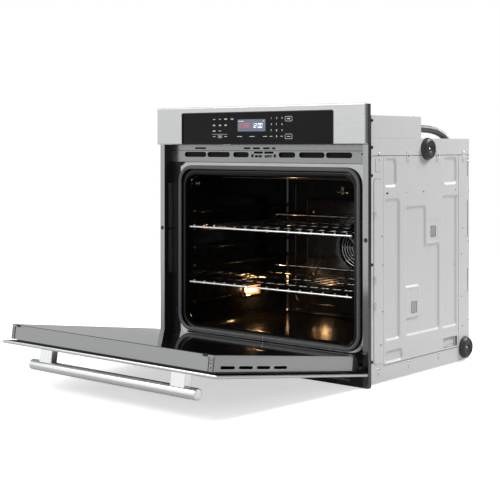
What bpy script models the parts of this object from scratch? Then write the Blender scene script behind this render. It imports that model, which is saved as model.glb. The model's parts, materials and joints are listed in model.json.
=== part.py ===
"""Built-in wall oven: body, cavity, two sliding racks, fans and a drop-down door on side hinges.

Units are metres and +Z is up. +X is the right-hand side seen from the front, and +Y runs into the
cabinet. Every piece is first placed from the front plane of the control fascia (y = 0) and from the
surface that the oven stands on (z = 0). The last step moves everything by FRONT_TO_BASE, so that the
origin is the middle of the base pan. The door is built shut and then swung to the stop of its hinges.
"""

from math import cos, pi, radians, sin

import bmesh
import bpy
from mathutils import Matrix, Vector

# ---------------------------------------------------------------- driving dimensions
HALF_W = 0.378            # half width of the fascia, side trims and door skin
HEIGHT = 0.7424           # top of the control fascia
DEPTH = 0.5592            # front plane of the fascia to the back of the body
FRONT_TO_BASE = 0.300     # front plane of the fascia to the middle of the base pan
SHEET = 0.0012            # folded steel sheet
GAP = 0.0003              # clearance between neighbouring pieces

FASCIA_Z = 0.6346         # bottom of the control fascia
FASCIA_T = 0.012          # depth of the fascia's folded edge
GLASS_HALF_W = 0.2753     # control glass
GLASS_TOP = 0.7255
TRIM_Y = 0.014            # front of the side and bottom trims
TRIM_INNER = 0.3606       # inner edge of a side trim
TRIM_BACK = 0.0275        # back of the front frame: the face that meets the cabinet
FRAME_Y = 0.049           # front of the enamelled front frame

BODY_X = 0.362            # half width of the galvanised body
BODY_Y = 0.0505           # front edge of the body sides
RAIL_TOP = 0.6513         # top of the upper side rails
PANEL_TOP = 0.6046        # seam between the side panels and the upper rails
PANEL_BOTTOM = 0.0450     # seam between the side panels and the lower rails
PLATE_TOP = 0.5912        # top plate, above the insulation
PLATE_X = 0.3562          # its half width, clear of the side panels' pockets
BOX_TOP = 0.7115          # electronics cover
BOX_BACK = 0.2945

OPENING_X = 0.311         # oven mouth in the front frame
OPENING_Z = (0.1015, 0.5415)
CAVITY_X = 0.3085         # half width inside the liner
CAVITY_Z = (0.084, 0.553)
CAVITY_BACK = 0.5358

RACK_X = 0.2970           # centre line of a rack's side rods
RACK_FRONT = 0.058
RACK_BACK = 0.462
RACK_LEVELS = (0.1708, 0.2255, 0.2802, 0.3348, 0.3895, 0.4442)
UPPER_LEVEL = 4
LOWER_LEVEL = 1
WIRE_PITCH = 0.0398
FAN_Z = 0.312             # convection fan's axis height
ELEMENT_R = 0.0032        # sheath of the heating elements
BLOWER = (-0.080, 0.200)  # axis of the cooling blower

HINGE_Y = 0.004           # door hinge axis
HINGE_Z = 0.047
DOOR_OPEN = radians(82)   # the door's stop
SKIN_Z = (0.037, 0.630)
SKIN_Y = (-0.010, -0.002)
DOOR_X = 0.355            # half width of the door body
DOOR_Z = (0.047, 0.6205)
DOOR_Y = (0.003, 0.0362)
GLASS_T = 0.004
NOTCH_X = 0.340           # lower door corners left free for the hinges
NOTCH_Z = 0.078

HANDLE_Y = -0.0553
HANDLE_Z = 0.591
HANDLE_R = 0.014
HANDLE_HALF = 0.293
POST_X = 0.234

CONDUIT_R = 0.0105
LAMP_Y = (0.314, 0.397)
LAMP_Z = (0.153, 0.193)

SIDES = (("left", -1), ("right", 1))


# ---------------------------------------------------------------- materials
def material(name, colour, roughness, metallic=0.0):
    mat = bpy.data.materials.new(name)
    mat.use_nodes = True
    shader = mat.node_tree.nodes["Principled BSDF"]
    shader.inputs["Base Color"].default_value = (*colour, 1.0)
    shader.inputs["Roughness"].default_value = roughness
    shader.inputs["Metallic"].default_value = metallic
    return mat


def make_materials():
    return {
        "brushed": material("brushed_steel", (0.62, 0.62, 0.63), 0.32, 1.0),
        "galvanised": material("galvanised_steel", (0.66, 0.67, 0.68), 0.42, 1.0),
        "grey_steel": material("grey_painted_steel", (0.33, 0.33, 0.335), 0.45, 0.6),
        "enamel": material("black_enamel", (0.012, 0.012, 0.013), 0.12),
        "black": material("black_plastic", (0.02, 0.02, 0.02), 0.5),
        "glass": material("dark_glass", (0.01, 0.01, 0.012), 0.05),
        "gasket": material("woven_gasket", (0.16, 0.16, 0.16), 0.75),
        "chrome": material("chromed_wire", (0.75, 0.75, 0.74), 0.15, 1.0),
        "element": material("element_sheath", (0.12, 0.11, 0.10), 0.5, 0.7),
        "wool": material("glass_wool", (0.75, 0.70, 0.45), 0.95),
        "board": material("circuit_board", (0.02, 0.16, 0.06), 0.5),
        "lamp": material("lamp_glass", (1.0, 0.75, 0.35), 0.2),
        "aluminium": material("cast_aluminium", (0.70, 0.70, 0.70), 0.4, 1.0),
    }


# ---------------------------------------------------------------- shapes
def add(name, mesh, mat=None, location=(0, 0, 0), matrix=None):
    """Put a mesh in the scene: a part when it has a material, otherwise a cutter."""
    obj = bpy.data.objects.new(name, mesh)
    if matrix is not None:
        obj.matrix_world = matrix
    obj.location = location
    if mat is None:
        CUTTERS.objects.link(obj)
        obj.hide_render = True
        obj.display_type = "WIRE"
        return obj
    obj.data.materials.clear()
    obj.data.materials.append(mat)
    PARTS.objects.link(obj)
    return obj


def box(name, x, y, z, mat=None, bevel=0.0, segments=2):
    """A box between two limits on each axis, with rounded edges if bevel is given."""
    bm = bmesh.new()
    bmesh.ops.create_cube(bm, size=1.0)
    size = (x[1] - x[0], y[1] - y[0], z[1] - z[0])
    bmesh.ops.scale(bm, vec=size, verts=bm.verts)
    mesh = bpy.data.meshes.new(name)
    bm.to_mesh(mesh)
    bm.free()
    centre = ((x[0] + x[1]) / 2, (y[0] + y[1]) / 2, (z[0] + z[1]) / 2)
    obj = add(name, mesh, mat, centre)
    if bevel:
        mod = obj.modifiers.new("rounded", "BEVEL")
        mod.width = bevel
        mod.segments = segments
    return obj


def cylinder(name, radius, axis, centre, length, mat=None, sides=24):
    bm = bmesh.new()
    bmesh.ops.create_cone(bm, cap_ends=True, segments=sides, radius1=radius, radius2=radius,
                          depth=length)
    mesh = bpy.data.meshes.new(name)
    bm.to_mesh(mesh)
    bm.free()
    turn = {"X": Matrix.Rotation(pi / 2, 4, "Y"), "Y": Matrix.Rotation(pi / 2, 4, "X"),
            "Z": Matrix.Identity(4)}[axis]
    obj = add(name, mesh, mat, centre, turn)
    smooth(obj)
    return obj


def smooth(obj):
    obj.data.shade_smooth()
    obj.data.set_sharp_from_angle(angle=radians(35))


def curve_mesh(curve, merge_flat=False):
    """The welded mesh of a curve datablock, with its flat faces merged for an outline."""
    temp = bpy.data.objects.new("temp", curve)
    bpy.context.scene.collection.objects.link(temp)
    graph = bpy.context.evaluated_depsgraph_get()
    mesh = bpy.data.meshes.new_from_object(temp.evaluated_get(graph))
    bpy.data.objects.remove(temp)
    bpy.data.curves.remove(curve)
    bm = bmesh.new()
    bm.from_mesh(mesh)
    bmesh.ops.remove_doubles(bm, verts=bm.verts, dist=0.00002)
    if merge_flat:
        bmesh.ops.dissolve_limit(bm, angle_limit=radians(0.5), verts=bm.verts, edges=bm.edges)
    bmesh.ops.recalc_face_normals(bm, faces=bm.faces)
    bm.to_mesh(mesh)
    bm.free()
    return mesh


PLANES = {
    # outline x, outline y and normal, as columns
    "XZ": Matrix(((1, 0, 0, 0), (0, 0, -1, 0), (0, 1, 0, 0), (0, 0, 0, 1))),
    "YZ": Matrix(((0, 0, 1, 0), (1, 0, 0, 0), (0, 1, 0, 0), (0, 0, 0, 1))),
    "XY": Matrix.Identity(4),
}


def flat(name, outlines, plane, span, mat=None, chamfer=0.0, grow=0.0):
    """Outlines (an outer loop and holes, or separate loops) extruded across span on the normal."""
    curve = bpy.data.curves.new(name, "CURVE")
    curve.dimensions = "2D"
    curve.fill_mode = "BOTH"
    curve.extrude = (span[1] - span[0]) / 2 - chamfer
    curve.bevel_depth = chamfer
    curve.bevel_resolution = 0
    curve.offset = grow - chamfer
    for outline in outlines:
        spline = curve.splines.new("POLY")
        spline.points.add(len(outline) - 1)
        spline.use_cyclic_u = True
        for point, (a, b) in zip(spline.points, outline):
            point.co = (a, b, 0, 1)
    mesh = curve_mesh(curve, merge_flat=True)
    middle = (span[0] + span[1]) / 2
    location = {"XZ": (0, middle, 0), "YZ": (middle, 0, 0), "XY": (0, 0, middle)}[plane]
    return add(name, mesh, mat, location, PLANES[plane])


def tube(name, loops, radius, mat=None, resolution=2, cyclic=False):
    """One mesh of round rods along lists of points."""
    curve = bpy.data.curves.new(name, "CURVE")
    curve.dimensions = "3D"
    curve.bevel_depth = radius
    curve.bevel_resolution = resolution
    curve.use_fill_caps = not cyclic
    for points in loops:
        spline = curve.splines.new("POLY")
        spline.points.add(len(points) - 1)
        spline.use_cyclic_u = cyclic
        for point, co in zip(spline.points, points):
            point.co = (*co, 1)
    obj = add(name, curve_mesh(curve), mat)
    smooth(obj)
    return obj


def turned(name, profile, matrix, mat, steps=24):
    """A profile of (radius, height) points, top to bottom, turned about the local Z axis."""
    mesh = bpy.data.meshes.new(name)
    mesh.from_pydata([(r, 0, h) for r, h in profile],
                     [(i, i + 1) for i in range(len(profile) - 1)], [])
    obj = add(name, mesh, mat, matrix.translation, matrix)
    mod = obj.modifiers.new("turned", "SCREW")
    mod.steps = steps
    mod.render_steps = steps
    mod.use_merge_vertices = True
    mod.merge_threshold = 0.00005
    return obj


def boolean(obj, other, operation):
    mod = obj.modifiers.new(operation.lower(), "BOOLEAN")
    mod.operation = operation
    mod.object = other
    return obj


def cut(obj, *cutters):
    for cutter in cutters:
        boolean(obj, cutter, "DIFFERENCE")
    return obj


def join(obj, *others):
    for other in others:
        boolean(obj, other, "UNION")
    return obj


def boxes(name, limits, bevel=0.0, segments=1):
    """Several separate boxes as one cutter or joiner."""
    bm = bmesh.new()
    for x, y, z in limits:
        made = bmesh.ops.create_cube(bm, size=1.0)["verts"]
        bmesh.ops.scale(bm, vec=(x[1] - x[0], y[1] - y[0], z[1] - z[0]), verts=made)
        centre = ((x[0] + x[1]) / 2, (y[0] + y[1]) / 2, (z[0] + z[1]) / 2)
        bmesh.ops.translate(bm, vec=centre, verts=made)
    mesh = bpy.data.meshes.new(name)
    bm.to_mesh(mesh)
    bm.free()
    obj = add(name, mesh)
    if bevel:
        mod = obj.modifiers.new("rounded", "BEVEL")
        mod.width = bevel
        mod.segments = segments
    return obj


# ---------------------------------------------------------------- outlines
def rectangle(a, b):
    return [(a[0], b[0]), (a[1], b[0]), (a[1], b[1]), (a[0], b[1])]


def round_rect(a, b, radius, steps=4):
    """Rectangle between limits a and b with quarter-circle corners."""
    corners = ((a[1] - radius, b[1] - radius, 0), (a[0] + radius, b[1] - radius, 1),
               (a[0] + radius, b[0] + radius, 2), (a[1] - radius, b[0] + radius, 3))
    points = []
    for x, y, quarter in corners:
        for i in range(steps + 1):
            angle = (quarter + i / steps) * pi / 2
            points.append((x + radius * cos(angle), y + radius * sin(angle)))
    return points


def fillet(points, radius, steps=3):
    """Round the corners of a route of straight runs."""
    found = [points[0]]
    for before, corner, after in zip(points, points[1:], points[2:]):
        corner = Vector(corner)
        into = (corner - Vector(before)).normalized()
        out = (Vector(after) - corner).normalized()
        reach = min(radius, (corner - Vector(before)).length * 0.49, (Vector(after) - corner).length * 0.49)
        start, end = corner - into * reach, corner + out * reach
        for i in range(steps + 1):
            t = i / steps
            found.append(tuple(start.lerp(corner, t).lerp(corner.lerp(end, t), t)))
    found.append(points[-1])
    return found


def rounded(points, radius, steps=2):
    """A closed outline with its corners rounded."""
    loop = [(a, b, 0) for a, b in points]
    found = fillet([loop[-1]] + loop + [loop[0]], radius, steps)
    return [(a, b) for a, b, _ in found[1:-1]]


def circle(x, y, radius, sides=12):
    return [(x + radius * cos(2 * pi * i / sides), y + radius * sin(2 * pi * i / sides))
            for i in range(sides)]


def arc_slot(radius, width, start, end, centre, steps=4):
    """A slot that follows an arc between two angles."""
    angles = [start + (end - start) * i / steps for i in range(steps + 1)]
    outer = [(radius + width / 2, a) for a in angles]
    inner = [(radius - width / 2, a) for a in reversed(angles)]
    return [(centre[0] + r * cos(a), centre[1] + r * sin(a)) for r, a in outer + inner]


def paddles(count, hub, tip, width, centre=(0, 0)):
    """Outline of a hub with straight radial blades."""
    points = []
    for i in range(count):
        angle = 2 * pi * i / count
        along = Vector((cos(angle), sin(angle)))
        across = Vector((-sin(angle), cos(angle))) * width / 2
        root = (hub ** 2 - (width / 2) ** 2) ** 0.5
        for point in (along * root - across, along * tip - across,
                      along * tip + across, along * root + across):
            points.append((centre[0] + point.x, centre[1] + point.y))
        middle = angle + pi / count
        points.append((centre[0] + hub * cos(middle), centre[1] + hub * sin(middle)))
    return points


def side_span(side, inner, outer):
    """X limits of a sheet on one side, in rising order."""
    return tuple(sorted((side * inner, side * outer)))


# ---------------------------------------------------------------- control panel
def control_panel(mats):
    fascia = box("control_fascia", (-HALF_W, HALF_W), (0, FASCIA_T), (FASCIA_Z, HEIGHT),
                 mats["brushed"])
    edges = fascia.modifiers.new("edges", "BEVEL")
    edges.width = 0.003
    edges.segments = 3
    hollow = box("fascia_hollow", (-HALF_W + 0.0015, HALF_W - 0.0015), (0.0015, 0.03),
                 (FASCIA_Z + 0.0015, HEIGHT - 0.0015))
    window = flat("fascia_window", [[(-GLASS_HALF_W, FASCIA_Z - 0.01), (GLASS_HALF_W, FASCIA_Z - 0.01),
                                     (GLASS_HALF_W, GLASS_TOP), (-GLASS_HALF_W, GLASS_TOP)]],
                  "XZ", (-0.01, 0.03))
    cut(fascia, hollow, window)

    glass_x = GLASS_HALF_W - GAP
    flat("control_glass", [round_rect((-glass_x, glass_x), (FASCIA_Z + GAP, GLASS_TOP - GAP), 0.002, 2)],
         "XZ", (0.0025, 0.0065), mats["glass"])

    frame = flat("fascia_frame", [rectangle((-0.3762, 0.3762), (FASCIA_Z + GAP, 0.7406)),
                                  rectangle((-0.268, 0.268), (0.642, 0.7200))],
                 "XZ", (FASCIA_T + GAP, TRIM_BACK), mats["black"])
    neck = flat("fascia_neck", [rectangle((-0.352, 0.352), (0.6400, 0.7350)),
                                rectangle((-0.345, 0.345), (0.6440, 0.7280))],
                "XZ", (0.020, BODY_Y - GAP))
    join(frame, neck)

    board = box("control_board", (-0.262, 0.262), (0.0128, 0.0144), (0.646, 0.716), mats["board"])
    display = box("display_glass", (-0.062, 0.0436), (0.0068, 0.0135), (0.668, 0.708))
    join(board, display)


# ---------------------------------------------------------------- front trims and frame
def slot_row(edges, z, both_sides=True):
    """Round-ended slots between pairs of x limits, repeated on the other side of the middle."""
    radius = 0.48 * (z[1] - z[0])
    if both_sides:
        edges = list(edges) + [(-high, -low) for low, high in edges]
    return [round_rect(pair, z, radius, 3) for pair in edges]


def front_trims(mats):
    x = TRIM_INNER - GAP
    air_slots = slot_row(((0.0545, 0.1135), (0.1266, 0.2142), (0.2187, 0.3055)), (0.5978, 0.6130))
    latch_slots = (slot_row(((0.0022, 0.0360),), (0.6086, 0.6146))
                   + slot_row(((0.0040, 0.0325),), (0.5978, 0.6042)))
    upper_slots = slot_row(((-0.2639, -0.2198), (-0.0734, -0.0479), (-0.0397, -0.0131),
                            (-0.0021, 0.0227), (0.0307, 0.0433)), (0.6214, 0.6264), both_sides=False)
    screw_holes = [circle(side * 0.0410, 0.6026, 0.0052, 12) for side in (-1, 1)]
    holes = air_slots + latch_slots + upper_slots + screw_holes
    flat("vent_trim", [rectangle((-x, x), (0.5833, FASCIA_Z - GAP))] + holes,
         "XZ", (0.0443, 0.0455), mats["grey_steel"])

    slots = slot_row(((0.040, 0.120), (0.140, 0.220), (0.240, 0.320)), (0.011, 0.017))
    flat("bottom_trim", [rectangle((-x, x), (0.0, 0.0280))] + slots,
         "XZ", (TRIM_Y, TRIM_BACK), mats["grey_steel"])

    for name, side in SIDES:
        channel = [(TRIM_INNER, TRIM_Y), (HALF_W - 0.0005, TRIM_Y), (HALF_W - 0.0005, TRIM_BACK),
                   (0.3640, TRIM_BACK), (0.3640, TRIM_BACK - SHEET),
                   (HALF_W - 0.0005 - SHEET, TRIM_BACK - SHEET),
                   (HALF_W - 0.0005 - SHEET, TRIM_Y + SHEET), (TRIM_INNER + SHEET, TRIM_Y + SHEET),
                   (TRIM_INNER + SHEET, 0.0455), (TRIM_INNER, 0.0455)]
        trim = flat("side_trim_" + name, [[(side * a, b) for a, b in channel]], "XY",
                    (0.0, FASCIA_Z - GAP), mats["brushed"])
        cut(trim, cylinder("trim_hole_" + name, 0.0062, "Y", (side * 0.3692, 0.02, 0.385), 0.02,
                           sides=16))


def front_frame(mats):
    frame_x = TRIM_INNER - GAP
    mouth = round_rect((-OPENING_X, OPENING_X), OPENING_Z, 0.035, 5)
    holes = [circle(side * 0.345, z, 0.0030, 8) for side in (-1, 1) for z in (0.110, 0.480, 0.560)]
    flat("front_frame", [rectangle((-frame_x, frame_x), (0.0285, 0.5830)), mouth] + holes,
         "XZ", (FRAME_Y, FRAME_Y + SHEET), mats["enamel"])

    half_width, half_depth = 0.00575, 0.0039
    loop = round_rect((-0.331 + half_width, 0.331 - half_width),
                      (0.082 + half_width, 0.573 - half_width), 0.043, 5)
    gasket = tube("gasket", [[(a, 0, b) for a, b in loop]], half_width, mats["gasket"], cyclic=True)
    gasket.data.transform(Matrix.Diagonal((1, half_depth / half_width, 1, 1)))
    gasket.location.y = FRAME_Y - GAP - half_depth


# ---------------------------------------------------------------- cavity
def cavity(mats):
    x, z = CAVITY_X, CAVITY_Z
    front = FRAME_Y + SHEET + GAP
    liner = box("cavity_liner", (-x - SHEET, x + SHEET), (front, CAVITY_BACK + SHEET),
                (z[0] - SHEET, z[1] + SHEET), mats["enamel"])
    hollow = box("liner_hollow", (-x, x), (0.02, CAVITY_BACK), z, bevel=0.008)
    shaft = cylinder("liner_shaft_hole", 0.009, "Y", (0, CAVITY_BACK, FAN_Z), 0.02, sides=16)
    lamp = box("liner_lamp_hole", (-0.330, -0.300), (LAMP_Y[0] - GAP, LAMP_Y[1] + GAP),
               (LAMP_Z[0] - GAP, LAMP_Z[1] + GAP))
    cut(liner, hollow, shaft, lamp)

    wool = box("insulation_blanket", (-0.345, 0.345), (BODY_Y + 0.001, 0.5572), (0.048, 0.5895),
               mats["wool"])
    inner = box("wool_inner", (-x - SHEET - GAP, x + SHEET + GAP), (0.0, CAVITY_BACK + SHEET + GAP),
                (0.066, z[1] + SHEET + GAP))
    lamp_space = box("wool_lamp", (-0.332, -0.300), (LAMP_Y[0] - 0.004, LAMP_Y[1] + 0.004),
                     (LAMP_Z[0] - 0.004, LAMP_Z[1] + 0.004))
    motor_space = cylinder("wool_motor", 0.042, "Y", (0, 0.55, FAN_Z), 0.06)
    cut(wool, inner, lamp_space, motor_space)


def rack_guides(mats):
    """Side walls of the cavity, pressed into ribs that carry the racks."""
    for name, side in SIDES:
        wall = box("rack_guide_" + name, side_span(side, CAVITY_X - GAP - SHEET, CAVITY_X - GAP),
                   (0.066, 0.516), (0.110, 0.505), mats["enamel"])
        ribs = []
        for level, height in enumerate(RACK_LEVELS):
            spans = ((0.075, 0.290), (0.420, 0.506)) if level == 0 else ((0.075, 0.506),)
            for span in spans:
                ribs.append((side_span(side, 0.2930, CAVITY_X - 0.0010), span,
                             (height - 0.0152, height - 0.0033)))
        join(wall, boxes("ribs_" + name, ribs, bevel=0.0030))
        if side < 0:
            cut(wall, box("guide_lamp_hole", (-0.320, -0.280), (LAMP_Y[0] - 0.003, LAMP_Y[1] + 0.003),
                          (LAMP_Z[0] - 0.003, LAMP_Z[1] + 0.003)))


def heating(mats):
    """Broil element at the ceiling, bake element under the floor, ring around the fan."""
    high = 0.5385
    near, far = 0.130, 0.440
    half = [(0.240, near, high), (0.240, far, high), (0.135, far, high), (0.135, near + 0.050, high),
            (0.030, near + 0.050, high), (0.030, 0.5350, high)]
    route = [(-a, b, c) for a, b, c in reversed(half)] + half
    tube("broil_element", [fillet(route, 0.018)], ELEMENT_R, mats["element"], 1)

    low = 0.0735
    route = [(0.040, 0.480, low), (0.250, 0.480, low), (0.250, 0.120, low),
             (-0.250, 0.120, low), (-0.250, 0.480, low), (-0.040, 0.480, low)]
    tube("bake_element", [fillet(route, 0.060)], ELEMENT_R, mats["element"], 1)

    ring = [(0.082 * sin(a), 0.5190, FAN_Z + 0.082 * cos(a))
            for a in (radians(15 + 330 * i / 24) for i in range(25))]
    tube("convection_element", [ring], ELEMENT_R, mats["element"], 1)


def convection_fan(mats):
    front = 0.5035
    back = CAVITY_BACK - GAP
    cover = box("fan_cover", (-0.200, 0.200), (front, back), (0.178, 0.462), mats["enamel"],
                bevel=0.003)
    hollow = box("fan_cover_hollow", (-0.1985, 0.1985), (front + 0.0015, 0.560), (0.1795, 0.4605))
    slots = [arc_slot(r, 0.0070, radians(90 * q + 8), radians(90 * q + 82), (0, FAN_Z))
             for r in (0.024, 0.037, 0.050, 0.063) for q in range(4)]
    cut(cover, hollow, flat("fan_slots", slots, "XZ", (0.49, 0.515)))

    motor = cylinder("fan_motor", 0.038, "Y", (0, 0.5478, FAN_Z), 0.0186, mats["black"])
    join(motor, cylinder("motor_shaft", 0.0040, "Y", (0, 0.5270, FAN_Z), 0.0300, sides=12))

    flat("fan_blade", [paddles(8, 0.016, 0.060, 0.0020, (0, FAN_Z)), circle(0, FAN_Z, 0.0043)],
         "XZ", (0.5090, 0.5265), mats["aluminium"])


def cavity_fittings(mats):
    box("oven_lamp", (-0.3285, -0.3000), LAMP_Y, LAMP_Z, mats["lamp"], bevel=0.003)
    tube("temperature_probe", [fillet([(-0.080, CAVITY_BACK - GAP, 0.488), (-0.080, 0.515, 0.488),
                                       (-0.080, 0.500, 0.488), (-0.030, 0.500, 0.484)], 0.008)],
         0.0028, mats["chrome"], 1)


def rack(name, level, mat):
    """Wire shelf: a rod frame with a raised back and a bump on each side rod."""
    z = RACK_LEVELS[level]
    half = [(0.0, RACK_FRONT, z), (RACK_X - 0.006, RACK_FRONT, z), (RACK_X, RACK_FRONT + 0.006, z),
            (RACK_X, 0.108, z), (RACK_X, 0.133, z + 0.018), (RACK_X, 0.155, z),
            (RACK_X, RACK_BACK - 0.030, z), (RACK_X - 0.004, RACK_BACK - 0.006, z + 0.0175),
            (RACK_X - 0.012, RACK_BACK, z + 0.0195)]
    loop = half + [(-a, b, c) for a, b, c in reversed(half[1:])]
    shelf = tube(name, [loop], 0.0028, mat, 1, cyclic=True)
    wires = []
    for i in range(15):
        x = (i - 7) * WIRE_PITCH
        wires.append([(x, RACK_FRONT - 0.0020, z + 0.0038), (x, RACK_BACK - 0.032, z + 0.0038),
                      (x, RACK_BACK, z + 0.0228)])
    braces = [[(-RACK_X, y, z - 0.0004), (RACK_X, y, z - 0.0004)] for y in (0.172, 0.300, 0.420)]
    join(shelf, tube(name + "_wires", wires, 0.0015, resolution=1),
         tube(name + "_braces", braces, 0.0024, resolution=1))
    return shelf


# ---------------------------------------------------------------- body
POCKET_DEPTH = 0.0040
POCKET_SLOPE = 0.0030


def pocket_outlines():
    """Pressed pockets of a side panel, in (y, z)."""
    shapes = [rectangle((0.1160, 0.1680), (0.5225, 0.5950)), rectangle((0.4180, 0.4850), (0.5225, 0.5950)),
              rectangle((0.1150, 0.1850), (0.1110, 0.4860)), rectangle((0.4090, 0.4850), (0.1110, 0.4860)),
              rectangle((0.1160, 0.1980), (0.0510, 0.0785)),
              [(0.2185, 0.1120), (0.3900, 0.1120), (0.3900, 0.3530), (0.3180, 0.3530), (0.3180, 0.4620),
               (0.2185, 0.4620), (0.2185, 0.2445), (0.2900, 0.2445), (0.2900, 0.1560), (0.2185, 0.1560)]]
    return [rounded(shape, 0.008, 1) for shape in shapes]


def side_panel(name, side, mats):
    x = side_span(side, BODY_X - SHEET, BODY_X)
    panel = box("side_panel_" + name, x, (0.1080, 0.4970), (PANEL_BOTTOM + GAP, PANEL_TOP - GAP),
                mats["galvanised"])
    deep = side_span(side, BODY_X - SHEET - POCKET_DEPTH, BODY_X + 0.010)
    shallow = side_span(side, BODY_X - POCKET_DEPTH, BODY_X + 0.010)
    pads = flat("pads_" + name, pocket_outlines(), "YZ", deep, chamfer=POCKET_SLOPE, grow=SHEET)
    trim = box("pad_trim_" + name, side_span(side, BODY_X - SHEET / 2, BODY_X + 0.020), (0.09, 0.51),
               (0.03, 0.62))
    cut(pads, trim)
    dents = flat("dents_" + name, pocket_outlines(), "YZ", shallow, chamfer=POCKET_SLOPE)
    join(panel, pads)
    cut(panel, dents)
    window = box("panel_window_" + name, side_span(side, BODY_X - 0.01, BODY_X + 0.01),
                 (0.4130, 0.4900), (0.0500, 0.0785))
    cut(panel, window)


def body_sides(mats):
    steel = mats["galvanised"]
    for name, side in SIDES:
        side_panel(name, side, mats)
        sheet = side_span(side, BODY_X - SHEET, BODY_X)

        post = box("front_post_" + name, sheet, (BODY_Y, 0.1077), (PANEL_BOTTOM + GAP, PANEL_TOP - GAP),
                   steel)
        strap = flat("strap_" + name, [round_rect((0.0620, 0.1050), (0.0540, 0.5430), 0.008, 3),
                                       round_rect((0.0690, 0.1030), (0.5620, 0.5990), 0.006, 3)],
                     "YZ", side_span(side, BODY_X - SHEET / 2, BODY_X + SHEET))
        join(post, strap)

        angle = [(BODY_X, 0.4973), (BODY_X, DEPTH), (0.3400, DEPTH), (0.3400, DEPTH - SHEET),
                 (BODY_X - SHEET, DEPTH - SHEET), (BODY_X - SHEET, 0.4973)]
        rear = flat("rear_post_" + name, [[(side * a, b) for a, b in angle]], "XY",
                    (PANEL_BOTTOM + GAP, PANEL_TOP - GAP), steel)
        slots = [(side_span(side, 0.355, 0.37), (0.5475, 0.5510), span)
                 for span in ((0.541, 0.598), (0.364, 0.471), (0.203, 0.271))]
        cut(rear, boxes("rear_slots_" + name, slots))

        rail = [(BODY_X, PANEL_TOP), (BODY_X, RAIL_TOP), (0.350, RAIL_TOP), (0.350, RAIL_TOP - SHEET),
                (BODY_X - SHEET, RAIL_TOP - SHEET), (BODY_X - SHEET, PANEL_TOP)]
        flat("upper_rail_" + name, [[(side * a, b) for a, b in rail]], "XZ", (BODY_Y, DEPTH), steel)

        foot = [(BODY_X, PANEL_BOTTOM), (BODY_X, 0.0045), (0.342, 0.0045), (0.342, 0.0045 + SHEET),
                (BODY_X - SHEET, 0.0045 + SHEET), (BODY_X - SHEET, PANEL_BOTTOM)]
        flat("lower_rail_" + name, [[(side * a, b) for a, b in foot]], "XZ", (BODY_Y, DEPTH), steel)


def body_closures(mats):
    steel = mats["galvanised"]
    vents = []
    for row in range(3):
        z = 0.480 + 0.024 * row
        vents += slot_row(((0.060, 0.130), (0.150, 0.220)), (z, z + 0.006))
    flat("rear_panel", [rectangle((-0.3395, 0.3395), (0.0125, 0.6450))] + vents,
         "XZ", (DEPTH - SHEET, DEPTH), steel)

    pan = box("base_pan", (-0.3360, 0.3360), (BODY_Y, 0.5570), (0.0, 0.0440), steel)
    cut(pan, box("pan_hollow", (-0.3345, 0.3345), (BODY_Y + 0.0015, 0.5555), (0.0015, 0.06)))

    flat("top_plate", [rectangle((-PLATE_X, PLATE_X), (BODY_Y, 0.5575))],
         "XY", (PLATE_TOP - SHEET, PLATE_TOP), steel)

    cover = box("electronics_cover", (-BODY_X, BODY_X), (BODY_Y, BOX_BACK), (RAIL_TOP + GAP, BOX_TOP),
                steel)
    wall = box("cover_wall", (-BODY_X + SHEET + GAP, BODY_X - SHEET - GAP),
               (BOX_BACK - SHEET, BOX_BACK), (PLATE_TOP + GAP, 0.660))
    hollow = box("cover_hollow", (-BODY_X + SHEET, BODY_X - SHEET), (0.03, BOX_BACK - SHEET),
                 (0.60, BOX_TOP - SHEET))
    corners = boxes("cover_corners", [(side_span(side, 0.345, 0.37), (0.28, 0.30), (0.60, RAIL_TOP + GAP))
                                      for side in (-1, 1)])
    hole = cylinder("cover_hole", 0.008, "Y", (0.325, BOX_BACK, 0.680), 0.02, sides=16)
    join(cover, wall)
    cut(cover, hollow, corners, hole)


def cooling_blower(mats):
    """Scroll housing on the top plate with its duct forward to the vent trim, and the wheel in it."""
    floor = PLATE_TOP + GAP
    roof = floor + 0.044
    wall = 0.0015
    housing = cylinder("blower_housing", 0.056, "Z", (*BLOWER, (floor + roof) / 2), roof - floor,
                       mats["galvanised"])
    # the duct is a hair lower than the scroll, so that no two faces lie in one plane
    duct = box("blower_duct", (-0.136, -0.050), (0.070, 0.200), (floor + 0.0004, roof - 0.0004))
    scroll = cylinder("blower_scroll", 0.056 - wall, "Z", (*BLOWER, (floor + roof) / 2),
                      roof - floor - 2 * wall)
    throat = box("blower_throat", (-0.136 + wall, -0.050 - wall), (0.060, 0.200),
                 (floor + wall + 0.0004, roof - wall - 0.0004))
    inlet = cylinder("blower_inlet", 0.032, "Z", (*BLOWER, roof), 0.030)
    join(housing, duct)
    cut(housing, scroll, throat, inlet)
    flat("blower_wheel", [paddles(14, 0.034, 0.046, 0.0020, BLOWER), circle(*BLOWER, 0.0250, 16)],
         "XY", (floor + 0.006, roof - 0.006), mats["black"])


def bumpers(mats):
    """Round spacer discs on the sides."""
    profile = [(0.0, 0.0130), (0.0100, 0.0130), (0.0220, 0.0145), (0.0270, 0.0115),
               (0.0315, 0.0030), (0.0315, 0.0), (0.0, 0.0)]
    for name, side in SIDES:
        for where, y, z in (("upper", 0.3254, 0.6222), ("lower", 0.5319, 0.0402)):
            turn = Matrix.Translation((side * (BODY_X + GAP), y, z)) @ Matrix.Rotation(side * pi / 2, 4, "Y")
            turned(f"bumper_{where}_{name}", profile, turn, mats["black"], 16)


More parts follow.
